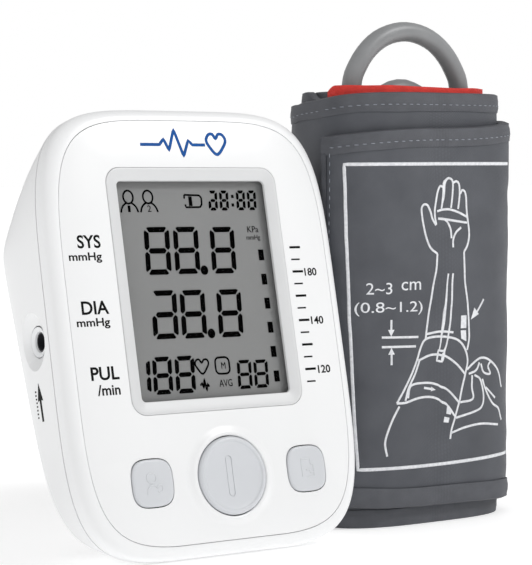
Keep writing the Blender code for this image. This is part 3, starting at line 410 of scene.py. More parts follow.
lean, backSlope = math.radians(13), math.radians(10.6)
panelLow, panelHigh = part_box("face_panel")
faceOrigin = Vector(((panelLow.x + panelHigh.x) / 2,
                     panelHigh.y - 1.2 * mm * math.cos(lean) - 64.1 * mm * math.sin(lean),
                     panelHigh.z - 64.1 * mm * math.cos(lean)))
facePlace = Matrix.Translation(faceOrigin) @ Matrix.Rotation(-lean, 4, "X")
faceOn = facePlace @ Matrix.Rotation(math.radians(90), 4, "X")      # x right, y up the face, z towards the viewer
backPlace = facePlace @ Matrix.Translation((0, 34.45 * mm, -12 * mm)) @ Matrix.Rotation(-backSlope, 4, "X")
portLow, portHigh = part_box("hose_port")
hoseCentre = Vector(((portLow.x + portHigh.x) / 2 + 23.0 * mm, (portLow.y + portHigh.y) / 2 + 3.6 * mm, 0))
rollCentre = hoseCentre - Vector((0.5 * mm, 0, 0))

# air hose and its plug

airHoseShape = {"radius": 3.25 * mm, "arch": 23.0 * mm, "leg": 3.6 * mm, "archHeight": 138.8 * mm,
                "fold": 27.5 * mm, "tail": 13.0 * mm, "tailX": 3.5 * mm, "tailHeight": 130.3 * mm,
                "tailEnd": math.radians(60), "start": 30.3 * mm}


def hoseArc(centreX, centreZ, radius, first, last, steps, yFirst, yLast):
    made = []
    for step in range(steps + 1):
        share = step / steps
        angle = math.radians(first + (last - first) * share)
        made.append((centreX + radius * math.cos(angle), yFirst + (yLast - yFirst) * share,
                     centreZ + radius * math.sin(angle)))
    return made


def hoseRoute():
    shape = airHoseShape
    arch, leg, end = shape["arch"], shape["leg"], shape["tailEnd"]
    way = Vector((math.sin(end), 0, -math.cos(end)))
    bend = Vector((shape["tailX"] + shape["tail"] * math.cos(end), leg,
                   shape["tailHeight"] + shape["tail"] * math.sin(end)))
    route = [(-arch, -leg, shape["start"]), (-arch, -leg, 0.062), (-arch, -leg, 0.102)]
    route += hoseArc(0, shape["archHeight"], arch, 180, 0, 6, -leg, -leg)
    route += [(arch, -leg, 0.100), (arch, -leg, 0.062)]
    route += hoseArc(0, shape["fold"], arch, 0, -180, 6, -leg, leg)
    route += [(-0.0190, leg, 0.058), (-0.0130, leg, 0.095)]
    route += hoseArc(shape["tailX"], shape["tailHeight"], shape["tail"], 180, 60, 5, leg, leg)
    route += [bend + 1.8 * mm * way, bend + 3.0 * mm * way]
    path = smoothLine(route, 2.5 * mm)
    return [point + hoseCentre for point in path], bend + 3.0 * mm * way + hoseCentre, way


hosePath, plugStart, plugWay = hoseRoute()
hoseCurve = bpy.data.curves.new("airHose", "CURVE")
hoseCurve.dimensions = "3D"
hoseCurve.bevel_depth = airHoseShape["radius"]
hoseCurve.bevel_resolution = 8
hoseCurve.use_fill_caps = True
hoseLine = hoseCurve.splines.new("POLY")
hoseLine.points.add(len(hosePath) - 1)
for point, place in zip(hoseLine.points, hosePath):
    point.co = (*place, 1)
hoseLine.use_smooth = True
airHose = bpy.data.objects.new("airHose", hoseCurve)
bpy.context.scene.collection.objects.link(airHose)
hoseCurve.materials.append(hoseGrey)
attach(airHose, "cuff")
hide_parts("air_hose")
hoseLength = sum((far - near).length for near, far in zip(hosePath, hosePath[1:]))

plugProfile = [(0, 0.3), (3.9, 0.3), (4.0, 0.8), (3.7, 1.1), (3.7, 1.5), (4.1, 1.9), (4.1, 3.0), (3.8, 3.3),
               (3.8, 3.7), (4.1, 4.1), (4.1, 5.2), (3.8, 5.5), (3.8, 5.9), (4.1, 6.3), (4.1, 8.2), (3.4, 9.0),
               (2.9, 9.4), (2.6, 10.2), (2.75, 12.8), (2.4, 13.3), (2.65, 15.4), (2.2, 16.2), (1.2, 16.2),
               (1.1, 13.5), (0, 13.5)]
airPlug = spunBody("airPlug", [(r * mm, z * mm) for r, z in plugProfile], 40)
plugPlace = Matrix.Translation(plugStart) @ plugWay.to_track_quat("Z", "Y").to_matrix().to_4x4()
settle(airPlug, plugPlace, darkPlastic, "cuff", ["air_plug"])
tuple(hosePath[0])
print("hose made, length %.3f m" % hoseLength)

# housing

housing = {"halfWidth": 51.0 * mm, "halfHeight": 68.3 * mm, "power": 5.0, "flatBase": 0.9975, "points": 176,
           "wall": 2.2 * mm, "bandWidth": 3.9 * mm, "bandDepth": 3.8 * mm, "frontRim": 6.8 * mm,
           "rearRim": 7.1 * mm, "seat": 1.5 * mm, "floorBack": 3.5 * mm, "humpDepth": 42.5 * mm,
           "humpHeight": 31.0 * mm, "rounding": 3.0 * mm, "panel": 1.2 * mm}
screwSpots = ((-33, 54), (33, 54), (-20, -57.5), (20, -57.5))      # across and up the housing, in mm
display = {"x": 0.8 * mm, "y": 12.2 * mm, "width": 53.0 * mm, "height": 66.8 * mm, "border": 4.0 * mm,
           "corner": 5.0 * mm}
keys = {"row": -45.1 * mm, "startX": 1.6 * mm, "radius": 11.8 * mm, "spacing": 27.5 * mm, "width": 13.8 * mm,
        "height": 14.0 * mm, "power": 3.2, "gap": 0.3 * mm}


def softSquare(halfWidth, halfHeight, power, count, flatBase=1.0):
    points = []
    for step in range(count):
        across, up = squaredWay(2 * math.pi * step / count, power)
        points.append((halfWidth * across, halfHeight * max(up, -flatBase)))
    return points


def housingRing(inset, depth):
    outline = softSquare(housing["halfWidth"] - inset, housing["halfHeight"] - inset, housing["power"],
                         housing["points"], housing["flatBase"])
    return [(x, depth, z) for x, z in outline]


def backDepth(z):
    back = housing["humpDepth"] - (housing["humpHeight"] - z) * math.tan(backSlope)
    top = housing["humpDepth"] - (z - housing["humpHeight"]) * math.tan(math.radians(45))
    return (back + top - math.hypot(back - top, housing["rounding"])) / 2


def rearRing(inset, share, wall):
    baseDepth = backDepth(-housing["halfHeight"] * housing["flatBase"]) - housing["rearRim"]
    baseDepth /= 1 - math.tan(backSlope) * math.tan(lean)
    baseInset = max(inset, baseDepth * share * math.tan(lean) / housing["flatBase"])
    ring = []
    for x, z in softSquare(1, 1, housing["power"], housing["points"], housing["flatBase"]):
        height = z * (housing["halfHeight"] - wall - (baseInset if z < 0 else inset))
        deepest = max(backDepth(height) - wall, housing["rearRim"] + 1.0 * mm)
        ring.append((x * (housing["halfWidth"] - wall - inset),
                     housing["rearRim"] + (deepest - housing["rearRim"]) * share, height))
    return ring


def slab(name, outline, front, back, centreX=0.0, centreY=0.0):
    rings = [[(x + centreX, depth, y + centreY) for x, y in outline] for depth in (front, back)]
    return ringBody(name, rings)


def keyOutline(extra):
    return softSquare(keys["width"] / 2 + extra, keys["height"] / 2 + extra, keys["power"], 72)


def drum(name, radius, start, end, x, y, steps=64):
    clearSelection()
    bpy.ops.mesh.primitive_cylinder_add(vertices=steps, radius=radius, depth=end - start,
                                        location=(x, (start + end) / 2, y), rotation=(math.radians(90), 0, 0))
    piece = newest(name)
    bpy.ops.object.transform_apply(location=True, rotation=True, scale=True)
    return piece


def displayOutline(border, corner, steps=10):
    return roundedOutline(display["width"] + 2 * border, display["height"] + 2 * border, corner, steps)


def openFace(piece, front, back):
    gap = keys["gap"]
    carve(piece, drum("startCut", keys["radius"] + gap, front, back, keys["startX"], keys["row"]))
    for side in (-1, 1):
        carve(piece, slab("keyCut", keyOutline(gap), front, back, keys["startX"] + side * keys["spacing"],
                          keys["row"]))


bandRings = [housingRing(0.8 * housing["halfWidth"], housing["seat"]),
             housingRing(housing["bandWidth"], housing["seat"]),
             housingRing(housing["bandWidth"], 0.12 * mm)]
for step in range(13):
    angle = math.radians(90 * step / 12)
    bandRings.append(housingRing(housing["bandWidth"] * (1 - math.sin(angle)) - 0.08 * mm * (step == 0),
                                 housing["bandDepth"] * (1 - math.cos(angle))))
bandRings += [housingRing(0, housing["frontRim"] - 0.2 * mm), housingRing(0.2 * mm, housing["frontRim"]),
              housingRing(housing["wall"], housing["frontRim"]), housingRing(housing["wall"], housing["floorBack"]),
              housingRing(0.8 * housing["halfWidth"], housing["floorBack"])]
frontShell = ringBody("frontShell", bandRings)
windowBorder = display["border"] - 1.6 * mm
carve(frontShell, slab("windowCut", displayOutline(windowBorder + 0.3 * mm, 3.4 * mm), 0, 6 * mm,
                       display["x"], display["y"]))
openFace(frontShell, 0.5 * mm, 6 * mm)
for x, z in screwSpots:
    carve(frontShell, drum("boss", 3.8 * mm, 3.0 * mm, 6.8 * mm, x * mm, z * mm, 32), "UNION")
settle(frontShell, facePlace, whiteShell, "monitor", ["front_shell"])

panelInset = housing["bandWidth"] + 0.14 * mm
facePanel = ringBody("facePanel", [housingRing(panelInset, housing["panel"]), housingRing(panelInset, 0.14 * mm),
                                   housingRing(panelInset + 0.05 * mm, 0.04 * mm),
                                   housingRing(panelInset + 0.14 * mm, 0)])
carve(facePanel, slab("bezelCut", displayOutline(display["border"] + 0.1 * mm, display["corner"]), -2 * mm,
                      3 * mm, display["x"], display["y"]))
openFace(facePanel, -3 * mm, 3 * mm)
settle(facePanel, facePlace, whitePanel, "monitor", ["face_panel"])

collarProfile = [(12.1, -0.4), (12.1, 0.45), (12.3, 0.72), (12.7, 0.82), (13.3, 0.74), (14.0, 0.42), (14.7, 0.12),
                 (15.4, 0.01), (15.9, -0.02), (15.9, -0.4), (12.1, -0.4)]
startCollar = spunBody("startCollar", [(r * mm, z * mm) for r, z in collarProfile], 96)
settle(startCollar, faceOn @ Matrix.Translation((keys["startX"], keys["row"], 0)), whitePanel,
       "monitor", smooth=60)

bezelRings = []
for border, corner, depth in ((4.0, 5.0, 1.2), (4.0, 5.0, -0.02), (3.85, 4.85, -0.22), (3.5, 4.5, -0.3),
                              (3.0, 4.1, -0.24), (0.5, 1.9, 0.45), (0.1, 1.6, 0.62), (0.0, 1.5, 0.85),
                              (0.0, 1.5, 1.45), (1.8, 3.0, 1.45), (4.0, 5.0, 1.2)):
    outline = displayOutline(border * mm, corner * mm)
    bezelRings.append([(x + display["x"], depth * mm, y + display["y"]) for x, y in outline])
settle(ringBody("displayBezel", bezelRings, joined=True), facePlace, bezelGrey, "monitor",
       ["display_bezel"], smooth=30)
displayWindow = slab("displayWindow", displayOutline(windowBorder, 3.4 * mm), 1.8 * mm, 2.8 * mm, display["x"],
                     display["y"])
settle(displayWindow, facePlace, clearWindow, "monitor", ["display_window"])
print("front made")

# keys

startProfile = [(0, 0.72), (3.0, 0.74), (6.5, 0.84), (9.0, 1.02), (9.9, 1.16), (10.2, 1.26), (10.35, 1.46),
                (10.55, 1.56), (10.85, 1.56), (11.3, 1.42), (11.62, 1.12), (11.78, 0.70), (11.8, 0.2), (11.8, -0.8),
                (3.0, -0.8), (3.0, -2.0), (0, -2.0)]
startButton = spunBody("startButton", [(r * mm, z * mm) for r, z in startProfile], 128)
barOutline = roundedOutline(2.3 * mm, 12.4 * mm, 1.14 * mm, 8)
barLip = flatShapes("barLip", [barOutline], 1.2 * mm)
barLip.data.transform(Matrix.Translation((-0.9 * mm, -0.1 * mm, 1.18 * mm)))
carve(startButton, barLip)
barBody = flatShapes("barBody", [roundedOutline(1.7 * mm, 11.8 * mm, 0.84 * mm, 8)], 0.8 * mm)
barBody.data.transform(Matrix.Translation((-0.9 * mm, -0.1 * mm, 0.30 * mm)))
carve(startButton, barBody, "UNION")
settle(startButton, faceOn @ Matrix.Translation((keys["startX"], keys["row"], 0)), buttonGrey,
       "start_key", ["start_button"])

userIcon = [[(-0.5, 3.0), (-1.7, 2.6), (-2.1, 1.5), (-1.6, 0.4), (-0.5, 0.0), (0.7, 0.4), (1.1, 1.5), (0.7, 2.6),
             (-0.5, 3.0)],
            [(-2.3, -3.4), (-2.1, -2.0), (-1.3, -0.9), (-0.2, -0.6), (0.7, -1.0), (1.2, -1.6)],
            [(1.2, -1.6), (1.6, -0.9), (2.5, -0.8), (3.0, -1.5), (2.8, -2.5), (1.9, -2.9), (1.3, -2.5)]]
memoryIcon = [[(-1.9, 2.9), (0.3, 2.9), (1.4, 2.9), (1.4, 1.2), (2.4, 1.1), (2.4, -2.7), (-0.2, -2.7)],
              [(-0.3, -0.5), (1.0, -0.5), (1.0, -1.4), (2.3, -1.4)],
              [(-1.9, 2.9), (-2.0, 0.2), (-1.9, -2.6)]]
for side, label, icon in ((-1, "user", userIcon), (1, "memory", memoryIcon)):
    rings = []
    for inset, height in ((2.6, -0.80), (0.0, -0.80), (0.0, 0.02), (0.05, 0.22), (0.22, 0.42), (0.5, 0.53),
                          (1.0, 0.58), (3.0, 0.56), (5.2, 0.52)):
        outline = softSquare(keys["width"] / 2 - inset * mm, keys["height"] / 2 - inset * mm, keys["power"], 72)
        rings.append([(x, y, height * mm) for x, y in outline])
    spot = Matrix.Translation((keys["startX"] + side * keys["spacing"], keys["row"], 0))
    settle(ringBody(label + "Button", rings), faceOn @ spot, buttonGrey, label + "_key",
           [label + "_button"], smooth=50)
    lines = drawnLines(label + "Icon", [[(x * mm, y * mm) for x, y in line] for line in icon], 0.5 * mm, 0.3 * mm,
                       0.3 * mm, straight=label == "memory")
    settle(lines, faceOn @ spot @ Matrix.Translation((0, 0, 0.56 * mm)), buttonGrey, label + "_key",
           smooth=60)
print("keys made")

# display figures and printed marks

def segmentOutlines(x, y, width, height, thick, lit="abcdefg", slant=0.061):
    gap, cut, mid = 0.13 * thick, 0.75 * thick, height / 2
    top = [(0.62 * cut + gap, height - 0.28 * cut), (cut + gap, height), (width - cut - gap, height),
           (width - 0.62 * cut - gap, height - 0.28 * cut), (width - thick - gap, height - thick),
           (thick + gap, height - thick)]
    left = [(0.28 * cut, height - 0.62 * cut - gap), (0, height - cut - gap), (0, mid + 0.42 * thick + gap),
            (0.42 * thick, mid + gap), (0.62 * thick, mid + 0.15 * thick + gap), (thick, mid + 0.55 * thick + gap),
            (thick, height - thick - gap)]
    middle = [(0.66 * thick + gap, mid), (1.05 * thick + gap, mid + thick / 2),
              (width - 1.05 * thick - gap, mid + thick / 2), (width - 0.66 * thick - gap, mid),
              (width - 1.05 * thick - gap, mid - thick / 2), (1.05 * thick + gap, mid - thick / 2)]
    mirror = lambda line: [(width - px, py) for px, py in reversed(line)]
    flip = lambda line: [(px, height - py) for px, py in reversed(line)]
    shapes = {"a": top, "f": left, "b": mirror(left), "g": middle, "e": flip(left), "c": mirror(flip(left)),
              "d": flip(top)}
    return [[((x + px + slant * py) * mm, (y + py) * mm) for px, py in shapes[part]] for part in lit]


def disc(x, y, radius, count=24, stretch=1.0):
    return [((x + radius * math.cos(2 * math.pi * k / count)) * mm,
             (y + stretch * radius * math.sin(2 * math.pi * k / count)) * mm) for k in range(count)]


def bar(x, y, width, height):
    return [((x - width / 2) * mm, (y - height / 2) * mm), ((x + width / 2) * mm, (y - height / 2) * mm),
            ((x + width / 2) * mm, (y + height / 2) * mm), ((x - width / 2) * mm, (y + height / 2) * mm)]


figures = []
figures += segmentOutlines(-18.4, 5.0, 8.9, 14.7, 1.65)
figures += segmentOutlines(-8.1, 5.0, 8.9, 14.6, 1.65)
figures += segmentOutlines(5.1, 4.8, 8.9, 14.6, 1.65)
figures += segmentOutlines(-18.6, -14.6, 8.9, 14.8, 1.65, "abcdeg")
figures += segmentOutlines(-8.5, -14.8, 8.9, 14.8, 1.65)
figures += segmentOutlines(4.7, -15.0, 8.9, 14.8, 1.65)
figures += segmentOutlines(-26.9, -31.0, 5.4, 11.0, 1.4, "bc")
figures += segmentOutlines(-20.7, -31.2, 6.7, 11.3, 1.4)
figures += segmentOutlines(-12.9, -31.3, 6.9, 11.3, 1.4)
figures += segmentOutlines(9.3, -31.2, 5.2, 8.9, 1.05)
figures += segmentOutlines(15.4, -31.2, 5.2, 8.7, 1.05)
for x, lit in ((6.7, "abcdeg"), (10.8, "abcdefg"), (17.0, "abcdefg"), (21.1, "abcdefg")):
    figures += segmentOutlines(x, 24.6, 3.3, 6.3, 0.95, lit)
figures += [disc(2.3, 6.0, 1.35, stretch=1.1), disc(2.0, -13.6, 1.35, stretch=1.1)]
figures += [bar(15.9, 29.0, 0.9, 1.0), bar(15.7, 26.3, 0.9, 1.0)]
figures += [bar(23.9, y, 1.9, 3.4) for y in (10.3, 2.6, -5.0, -12.6, -20.2, -27.9)]
figures += [bar(0.3, 27.6, 1.2, 3.0)]
displayFigures = flatShapes("displayFigures", figures, 0.12 * mm)

marks = []
for x in (-21.6, -14.7):
    marks.append([(x + 1.7 * math.cos(k * math.pi / 6), 29.0 + 2.0 * math.sin(k * math.pi / 6)) for k in range(13)])
    marks[-1][-1] = marks[-1][0]
    marks.append([(x - 3.0, 24.3), (x - 2.6, 25.5), (x - 1.9, 26.5), (x - 0.9, 27.2)])
    marks.append([(x + 3.0, 24.3), (x + 2.6, 25.5), (x + 1.9, 26.5), (x + 0.9, 27.2)])
heart = [(-2.9, -25.8), (-4.6, -23.9), (-5.2, -22.6), (-4.6, -21.5), (-3.6, -21.4), (-2.8, -22.4), (-2.0, -21.5),
         (-0.9, -21.5), (-0.4, -22.6), (-1.1, -24.0), (-2.9, -25.8)]
marks.append(heart)
memoryFrame = [(x + 4.5, y - 23.6) for x, y in roundedOutline(5.0, 5.0, 1.4, 3)]
marks.append(memoryFrame + memoryFrame[:1])
roundMarks = drawnLines("roundMarks", [[(x * mm, y * mm) for x, y in line] for line in marks], 0.6 * mm, 0.12 * mm,
                        0.35 * mm)
corners = [[(-1.7, 29.6), (3.7, 29.4), (4.4, 28.6), (4.3, 26.6), (3.6, 25.7), (-1.4, 25.7), (-1.7, 26.6)],
           [(-1.7, 29.6), (-1.8, 28.4)],
           [(-4.2, -29.3), (-3.5, -28.5), (-3.1, -30.2), (-2.6, -27.3), (-2.1, -31.0), (-1.6, -28.8), (-1.1, -29.8)]]
sharpMarks = drawnLines("sharpMarks", [[(x * mm, y * mm) for x, y in line] for line in corners], 0.6 * mm,
                        0.12 * mm, 0.5 * mm, straight=True)
smallWords = [lettering("displayWords", words, *(value * mm for value in room)) for words, room in (
    ("KPa", (19.9, 24.0, 17.5, 19.5)), ("mmHg", (19.2, 24.3, 14.7, 16.7)), ("M", (4.1, 5.6, -24.6, -22.6)),
    ("AVG", (2.6, 7.3, -30.1, -27.9)), ("1", (-22.1, -21.2, 24.4, 26.4)), ("2", (-15.3, -14.0, 24.4, 26.4)))]
lcdPlace = faceOn @ Matrix.Translation((display["x"], display["y"], -3.06 * mm))
for piece in [displayFigures, roundMarks, sharpMarks]:
    settle(piece, lcdPlace, segmentBlack, "monitor", smooth=0)
settle(joinedUp("displayWords", smallWords), lcdPlace, segmentBlack, "monitor", smooth=0)

labels = [("SYS", (-42.5, -34.7, 13.0, 17.0)), ("mmHg", (-45.8, -34.8, 8.6, 11.8)),
          ("DIA", (-43.6, -34.5, -6.7, -2.7)), ("mmHg", (-45.7, -34.6, -11.0, -7.8)),
          ("PUL", (-43.0, -33.6, -26.2, -22.2)), ("/min", (-41.4, -33.8, -30.7, -27.5)),
          ("180", (37.3, 41.9, 2.7, 5.2)), ("140", (37.4, 42.1, -12.7, -10.2)), ("120", (37.6, 42.3, -28.2, -25.7))]
labelPlace = faceOn @ Matrix.Translation((display["x"], display["y"], 0.01 * mm))
panelWords = [lettering("panelWords", words, *(value * mm for value in room), bold=0.08 * mm)
              for words, room in labels]
settle(joinedUp("panelWords", panelWords), labelPlace, inkBlack, "monitor", smooth=0)
ticks = []
for k in range(12):
    longOne = k % 2 == 0
    ticks.append(bar(32.8 + (2.0 if longOne else 1.7), 11.9 - 3.86 * k, 4.0 if longOne else 3.2,
                     0.72 if longOne else 0.48))
settle(flatShapes("scaleTicks", ticks, 0.06 * mm), labelPlace, inkBlack, "monitor", smooth=0)
pulseMark = [[(-17, 44.6), (-10.2, 44.6), (-8.6, 46.4), (-7.0, 42.8), (-4.6, 49.4), (-2.0, 41.0), (0.2, 46.0),
              (1.6, 44.6), (6.2, 44.6)],
             [(10.2, 41.6), (7.6, 44.2), (6.8, 46.2), (7.8, 47.9), (9.3, 48.0), (10.3, 46.6), (11.3, 48.0),
              (12.8, 47.9), (13.8, 46.2), (12.9, 44.2), (10.2, 41.6)]]
pulseLine = drawnLines("pulseLine", [[(x * mm, y * mm) for x, y in pulseMark[0]]], 1.0 * mm, 0.07 * mm, 0.8 * mm,
                       straight=True)
pulseHeart = drawnLines("pulseHeart", [[(x * mm, y * mm) for x, y in pulseMark[1]]], 1.0 * mm, 0.07 * mm, 0.5 * mm)
settle(joinedUp("pulseMark", [pulseLine, pulseHeart]), labelPlace, inkBlue, "monitor", smooth=0)
print("display and printing made")

# back of the housing

bay = {"halfWidth": 30.6 * mm, "halfHeight": 28.85 * mm, "floor": -17.9 * mm, "ledge": 3.0 * mm,
       "edgeDepth": 2.1 * mm, "wall": 1.5 * mm}
rearSteps = ((0, 0), (0.00015, 0.12), (0.0005, 0.28), (0.0008, 0.40), (0.0012, 0.54), (0.0018, 0.68),
             (0.0025, 0.785), (0.0033, 0.86), (0.0044, 0.918), (0.0056, 0.955), (0.0072, 0.98), (0.0090, 0.993),
             (0.0135, 1.0), (0.0280, 1.0), (0.0440, 1.0))
rearRings = [rearRing(inset, share, 0.0) for inset, share in reversed(rearSteps)]
rearRings += [rearRing(inset, share, housing["wall"]) for inset, share in rearSteps]
rearShell = ringBody("rearShell", rearRings)


def inBackFrame(piece):
    piece.data.transform(facePlace.inverted() @ backPlace)
    return piece


def centredBox(name, halfWidth, halfHeight, deep, shallow, bevel=0.0):
    return inBackFrame(box(name, (-halfWidth, deep, -halfHeight), (halfWidth, shallow, halfHeight), bevel))


ledgeWidth, ledgeHeight = bay["halfWidth"] + bay["ledge"], bay["halfHeight"] + bay["ledge"]
carve(rearShell, centredBox("ledgeWalls", ledgeWidth + bay["wall"], ledgeHeight + bay["wall"], -3.9 * mm,
                            -1.0 * mm), "UNION")
carve(rearShell, centredBox("bayWalls", bay["halfWidth"] + bay["wall"], bay["halfHeight"] + bay["wall"],
                            bay["floor"] - bay["wall"], -3.4 * mm), "UNION")
carve(rearShell, centredBox("baySpace", bay["halfWidth"], bay["halfHeight"], bay["floor"], 3 * mm))
carve(rearShell, centredBox("coverSeat", ledgeWidth, ledgeHeight, -bay["edgeDepth"], 3 * mm))
coverHalfWidth, coverHalfHeight = ledgeWidth - 0.3 * mm, ledgeHeight - 0.3 * mm
for side in (-1, 1):
    carve(rearShell, inBackFrame(box("tabSlot", (side * 14 * mm - 4.3 * mm, -5.1 * mm, -coverHalfHeight - 2.4 * mm),
                                     (side * 14 * mm + 4.3 * mm, -2.0 * mm, -coverHalfHeight + 4.5 * mm))))
carve(rearShell, inBackFrame(box("latchSlot", (-8 * mm, -5.2 * mm, coverHalfHeight - 6.0 * mm),
                                 (8 * mm, -1.4 * mm, coverHalfHeight + 0.8 * mm))))
wallX = -50.2 * mm
jackSpot = Matrix.Translation((wallX, 18.5 * mm, 0.7 * mm)) @ Matrix.Rotation(math.radians(-90), 4, "Y")
dishCut = spunBody("dishCut", [(r * mm, z * mm) for r, z in (
    (0, 3.2), (9.7, 3.2), (9.0, 0.6), (8.6, -0.1), (8.0, -0.55), (5.2, -1.85), (4.95, -2.1), (0, -2.1))], 96)
dishCut.data.transform(jackSpot)
carve(rearShell, dishCut)
jackHole = spunBody("jackHole", [(0, 3 * mm), (4.9 * mm, 3 * mm), (4.9 * mm, -6 * mm), (0, -6 * mm)], 64)
jackHole.data.transform(jackSpot)
carve(rearShell, jackHole)
for x, z in screwSpots:
    carve(rearShell, drum("boss", 4.6 * mm, housing["rearRim"], backDepth(z * mm) - 1.2 * mm, x * mm, z * mm, 40),
          "UNION")
    carve(rearShell, drum("counterbore", 3.3 * mm, 12 * mm, 45 * mm, x * mm, z * mm, 40))
    carve(rearShell, drum("shankHole", 1.6 * mm, 4 * mm, 12.5 * mm, x * mm, z * mm, 24))
for x, z in ((-30, 37.5), (30, 37.5), (-32, -40.5), (32, -40.5)):
    carve(rearShell, inBackFrame(drum("footSeat", 4.3 * mm, -1.1 * mm, 6 * mm, x * mm, z * mm, 40)))
settle(rearShell, facePlace, whiteShell, "monitor", ["rear_shell"], smooth=32)

jackProfile = [(3.0, -2.9), (3.2, -2.5), (4.5, -1.95), (4.6, -2.1), (4.6, -3.7), (6.6, -3.7), (6.6, -5.1), (4.6, -5.1),
               (4.6, -12.5), (0.9, -12.5), (0.9, -10.8), (3.0, -10.8), (3.0, -2.9)]
airJack = spunBody("airJack", [(r * mm, z * mm) for r, z in jackProfile], 64)
airJack.data.transform(jackSpot)
carve(airJack, box("jackBarb", (-42.9 * mm, 17.2 * mm, 4.5 * mm), (-40.3 * mm, 19.8 * mm, 9.3 * mm), 0.5 * mm),
      "UNION")
settle(airJack, facePlace, jackWhite, "monitor", ["air_jack"])
# a dark liner inside the air jack's bore: painted shade standing in for the shadow deep in the hole
jackBoreShade = spunBody("jackBoreShade", [(r * mm, z * mm) for r, z in (
    (2.9, -3.1), (2.9, -10.7), (0, -10.7), (0, -10.6), (2.5, -10.6), (2.5, -3.1), (2.9, -3.1))], 48)
jackBoreShade.data.transform(jackSpot)
settle(jackBoreShade, facePlace, darkPlastic, "monitor")

coverSize = {"thickness": 1.7 * mm, "ridges": 7, "ridgeWidth": 18 * mm}
batteryCover = box("batteryCover", (-coverHalfWidth, -coverSize["thickness"], -coverHalfHeight),
                   (coverHalfWidth, 0, coverHalfHeight), 0.35 * mm, 3)
for side in (-1, 1):
    carve(batteryCover, box("tab", (side * 14 * mm - 4 * mm, -3.9 * mm, -coverHalfHeight - 1.8 * mm),
                            (side * 14 * mm + 4 * mm, -2.5 * mm, -coverHalfHeight + 1.8 * mm)), "UNION")
    carve(batteryCover, box("neck", (side * 14 * mm - 4 * mm, -3.9 * mm, -coverHalfHeight + 0.4 * mm),
                            (side * 14 * mm + 4 * mm, -0.9 * mm, -coverHalfHeight + 1.8 * mm)), "UNION")
carve(batteryCover, box("tongue", (-7 * mm, -4.5 * mm, coverHalfHeight - 3.0 * mm),
                        (7 * mm, -0.9 * mm, coverHalfHeight - 0.4 * mm)), "UNION")
for k in range(coverSize["ridges"]):
    height = coverHalfHeight - 6 * mm - 1.9 * mm * k
    half = coverSize["ridgeWidth"] / 2 * (1 - 0.09 * k)
    carve(batteryCover, box("groove", (-half, -0.45 * mm, height - 0.45 * mm), (half, 1 * mm, height + 0.45 * mm)))
settle(batteryCover, backPlace, whiteShell, "cover", ["battery_cover"])

arrowShape = [(-0.4, -5.6), (0.9, -5.6), (0.7, 0.8), (2.0, 0.5), (-0.3, 6.0), (-2.0, 0.5), (-0.7, 0.8)]
sideArrow = flatShapes("sideArrow", [[(x * mm, y * mm) for x, y in arrowShape]], 0.06 * mm)
dashes = [bar(-3.0 + 0.1 * math.sin(5 * k), 3.6 - 1.1 * k, 0.9, 0.5) for k in range(8)]
sideDashes = flatShapes("sideDashes", dashes, 0.06 * mm)
sideMark = joinedUp("sideArrow", [sideArrow, sideDashes])
sideMark.data.transform(facePlace @ Matrix(((0, 0, -1, -60 * mm), (-1, 0, 0, 17.5 * mm), (0, 1, 0, -17.5 * mm),
                                            (0, 0, 0, 1))))
graph = bpy.context.evaluated_depsgraph_get()
shellTree = BVHTree.FromObject(rearShell, graph)
sideWay = facePlace.to_3x3() @ Vector((1, 0, 0))
for vert in sideMark.data.vertices:
    outwards = (facePlace.inverted() @ vert.co).x < -60 * mm
    hit = shellTree.ray_cast(vert.co, sideWay)
    if hit[0]:
        vert.co = hit[0] - sideWay * (0.05 * mm if outwards else -0.05 * mm)
settle(sideMark, Matrix.Identity(4), inkBlack, "monitor", smooth=0)
print("back made")

# the rolled cuff

cuff = {"height": 141 * mm, "turns": 3.0, "pitch": 3.3 * mm, "coreWidth": 26.8 * mm, "coreDepth": 12.1 * mm,
        "power": 3.2, "flapAngle": math.radians(194), "stack": 1.4 * mm, "flapDrop": 15.0 * mm,
        "flapRise": 8.5 * mm, "tape": 5.8 * mm, "wrinkle": 0.9 * mm, "printShift": 3.7 * mm, "slump": 4.2 * mm,
        "redDip": 3.2 * mm, "outerFace": 1.7 * mm}
fullTurn = 2 * math.pi * cuff["turns"]


def rollPoint(turned, offset, z):
    z = max(z, 0.0)
    angle = cuff["flapAngle"] + fullTurn - turned
    growth = cuff["pitch"] * turned / (2 * math.pi) + cuff["stack"] + offset
    across, back = squaredWay(angle, cuff["power"])
    place = Vector(((cuff["coreWidth"] + growth) * across, (cuff["coreDepth"] + growth) * back, z))
    share = turned / fullTurn
    spot = Vector((1.6 * math.cos(angle), 1.6 * math.sin(angle), 0))
    soft = noise.noise(spot + Vector((0, 0, z * 75))) + 0.5 * noise.noise(2 * spot + Vector((3, 1, z * 170)))
    rise = cuff["wrinkle"] * share ** 3 * max(0.0, 0.35 + 0.9 * soft)
    middle = 1 - abs(z / cuff["height"] - 0.5) * 2
    rise *= 0.35 + 0.65 * min(1.0, 4 * middle)
    return place + rise * Vector((across, back, 0)).normalized() + rollCentre


turnSteps = [fullTurn * k / 2400 for k in range(2401)]
unrolled = [0.0]
for near, far in zip(turnSteps, turnSteps[1:]):
    flat = []
    for turned in (near, far):
        across, back = squaredWay(cuff["flapAngle"] + fullTurn - turned, cuff["power"])
        growth = cuff["pitch"] * turned / (2 * math.pi) + cuff["stack"] + cuff["outerFace"]
        flat.append(Vector(((cuff["coreWidth"] + growth) * across, (cuff["coreDepth"] + growth) * back)))
    unrolled.append(unrolled[-1] + (flat[1] - flat[0]).length)
cuffLength = unrolled[-1]


def turnedAt(along):
    along = min(max(along, 0.0), cuffLength - 1e-7)
    k = bisect.bisect_right(unrolled, along) - 1
    return turnSteps[k] + (turnSteps[k + 1] - turnSteps[k]) * (along - unrolled[k]) / (unrolled[k + 1] - unrolled[k])


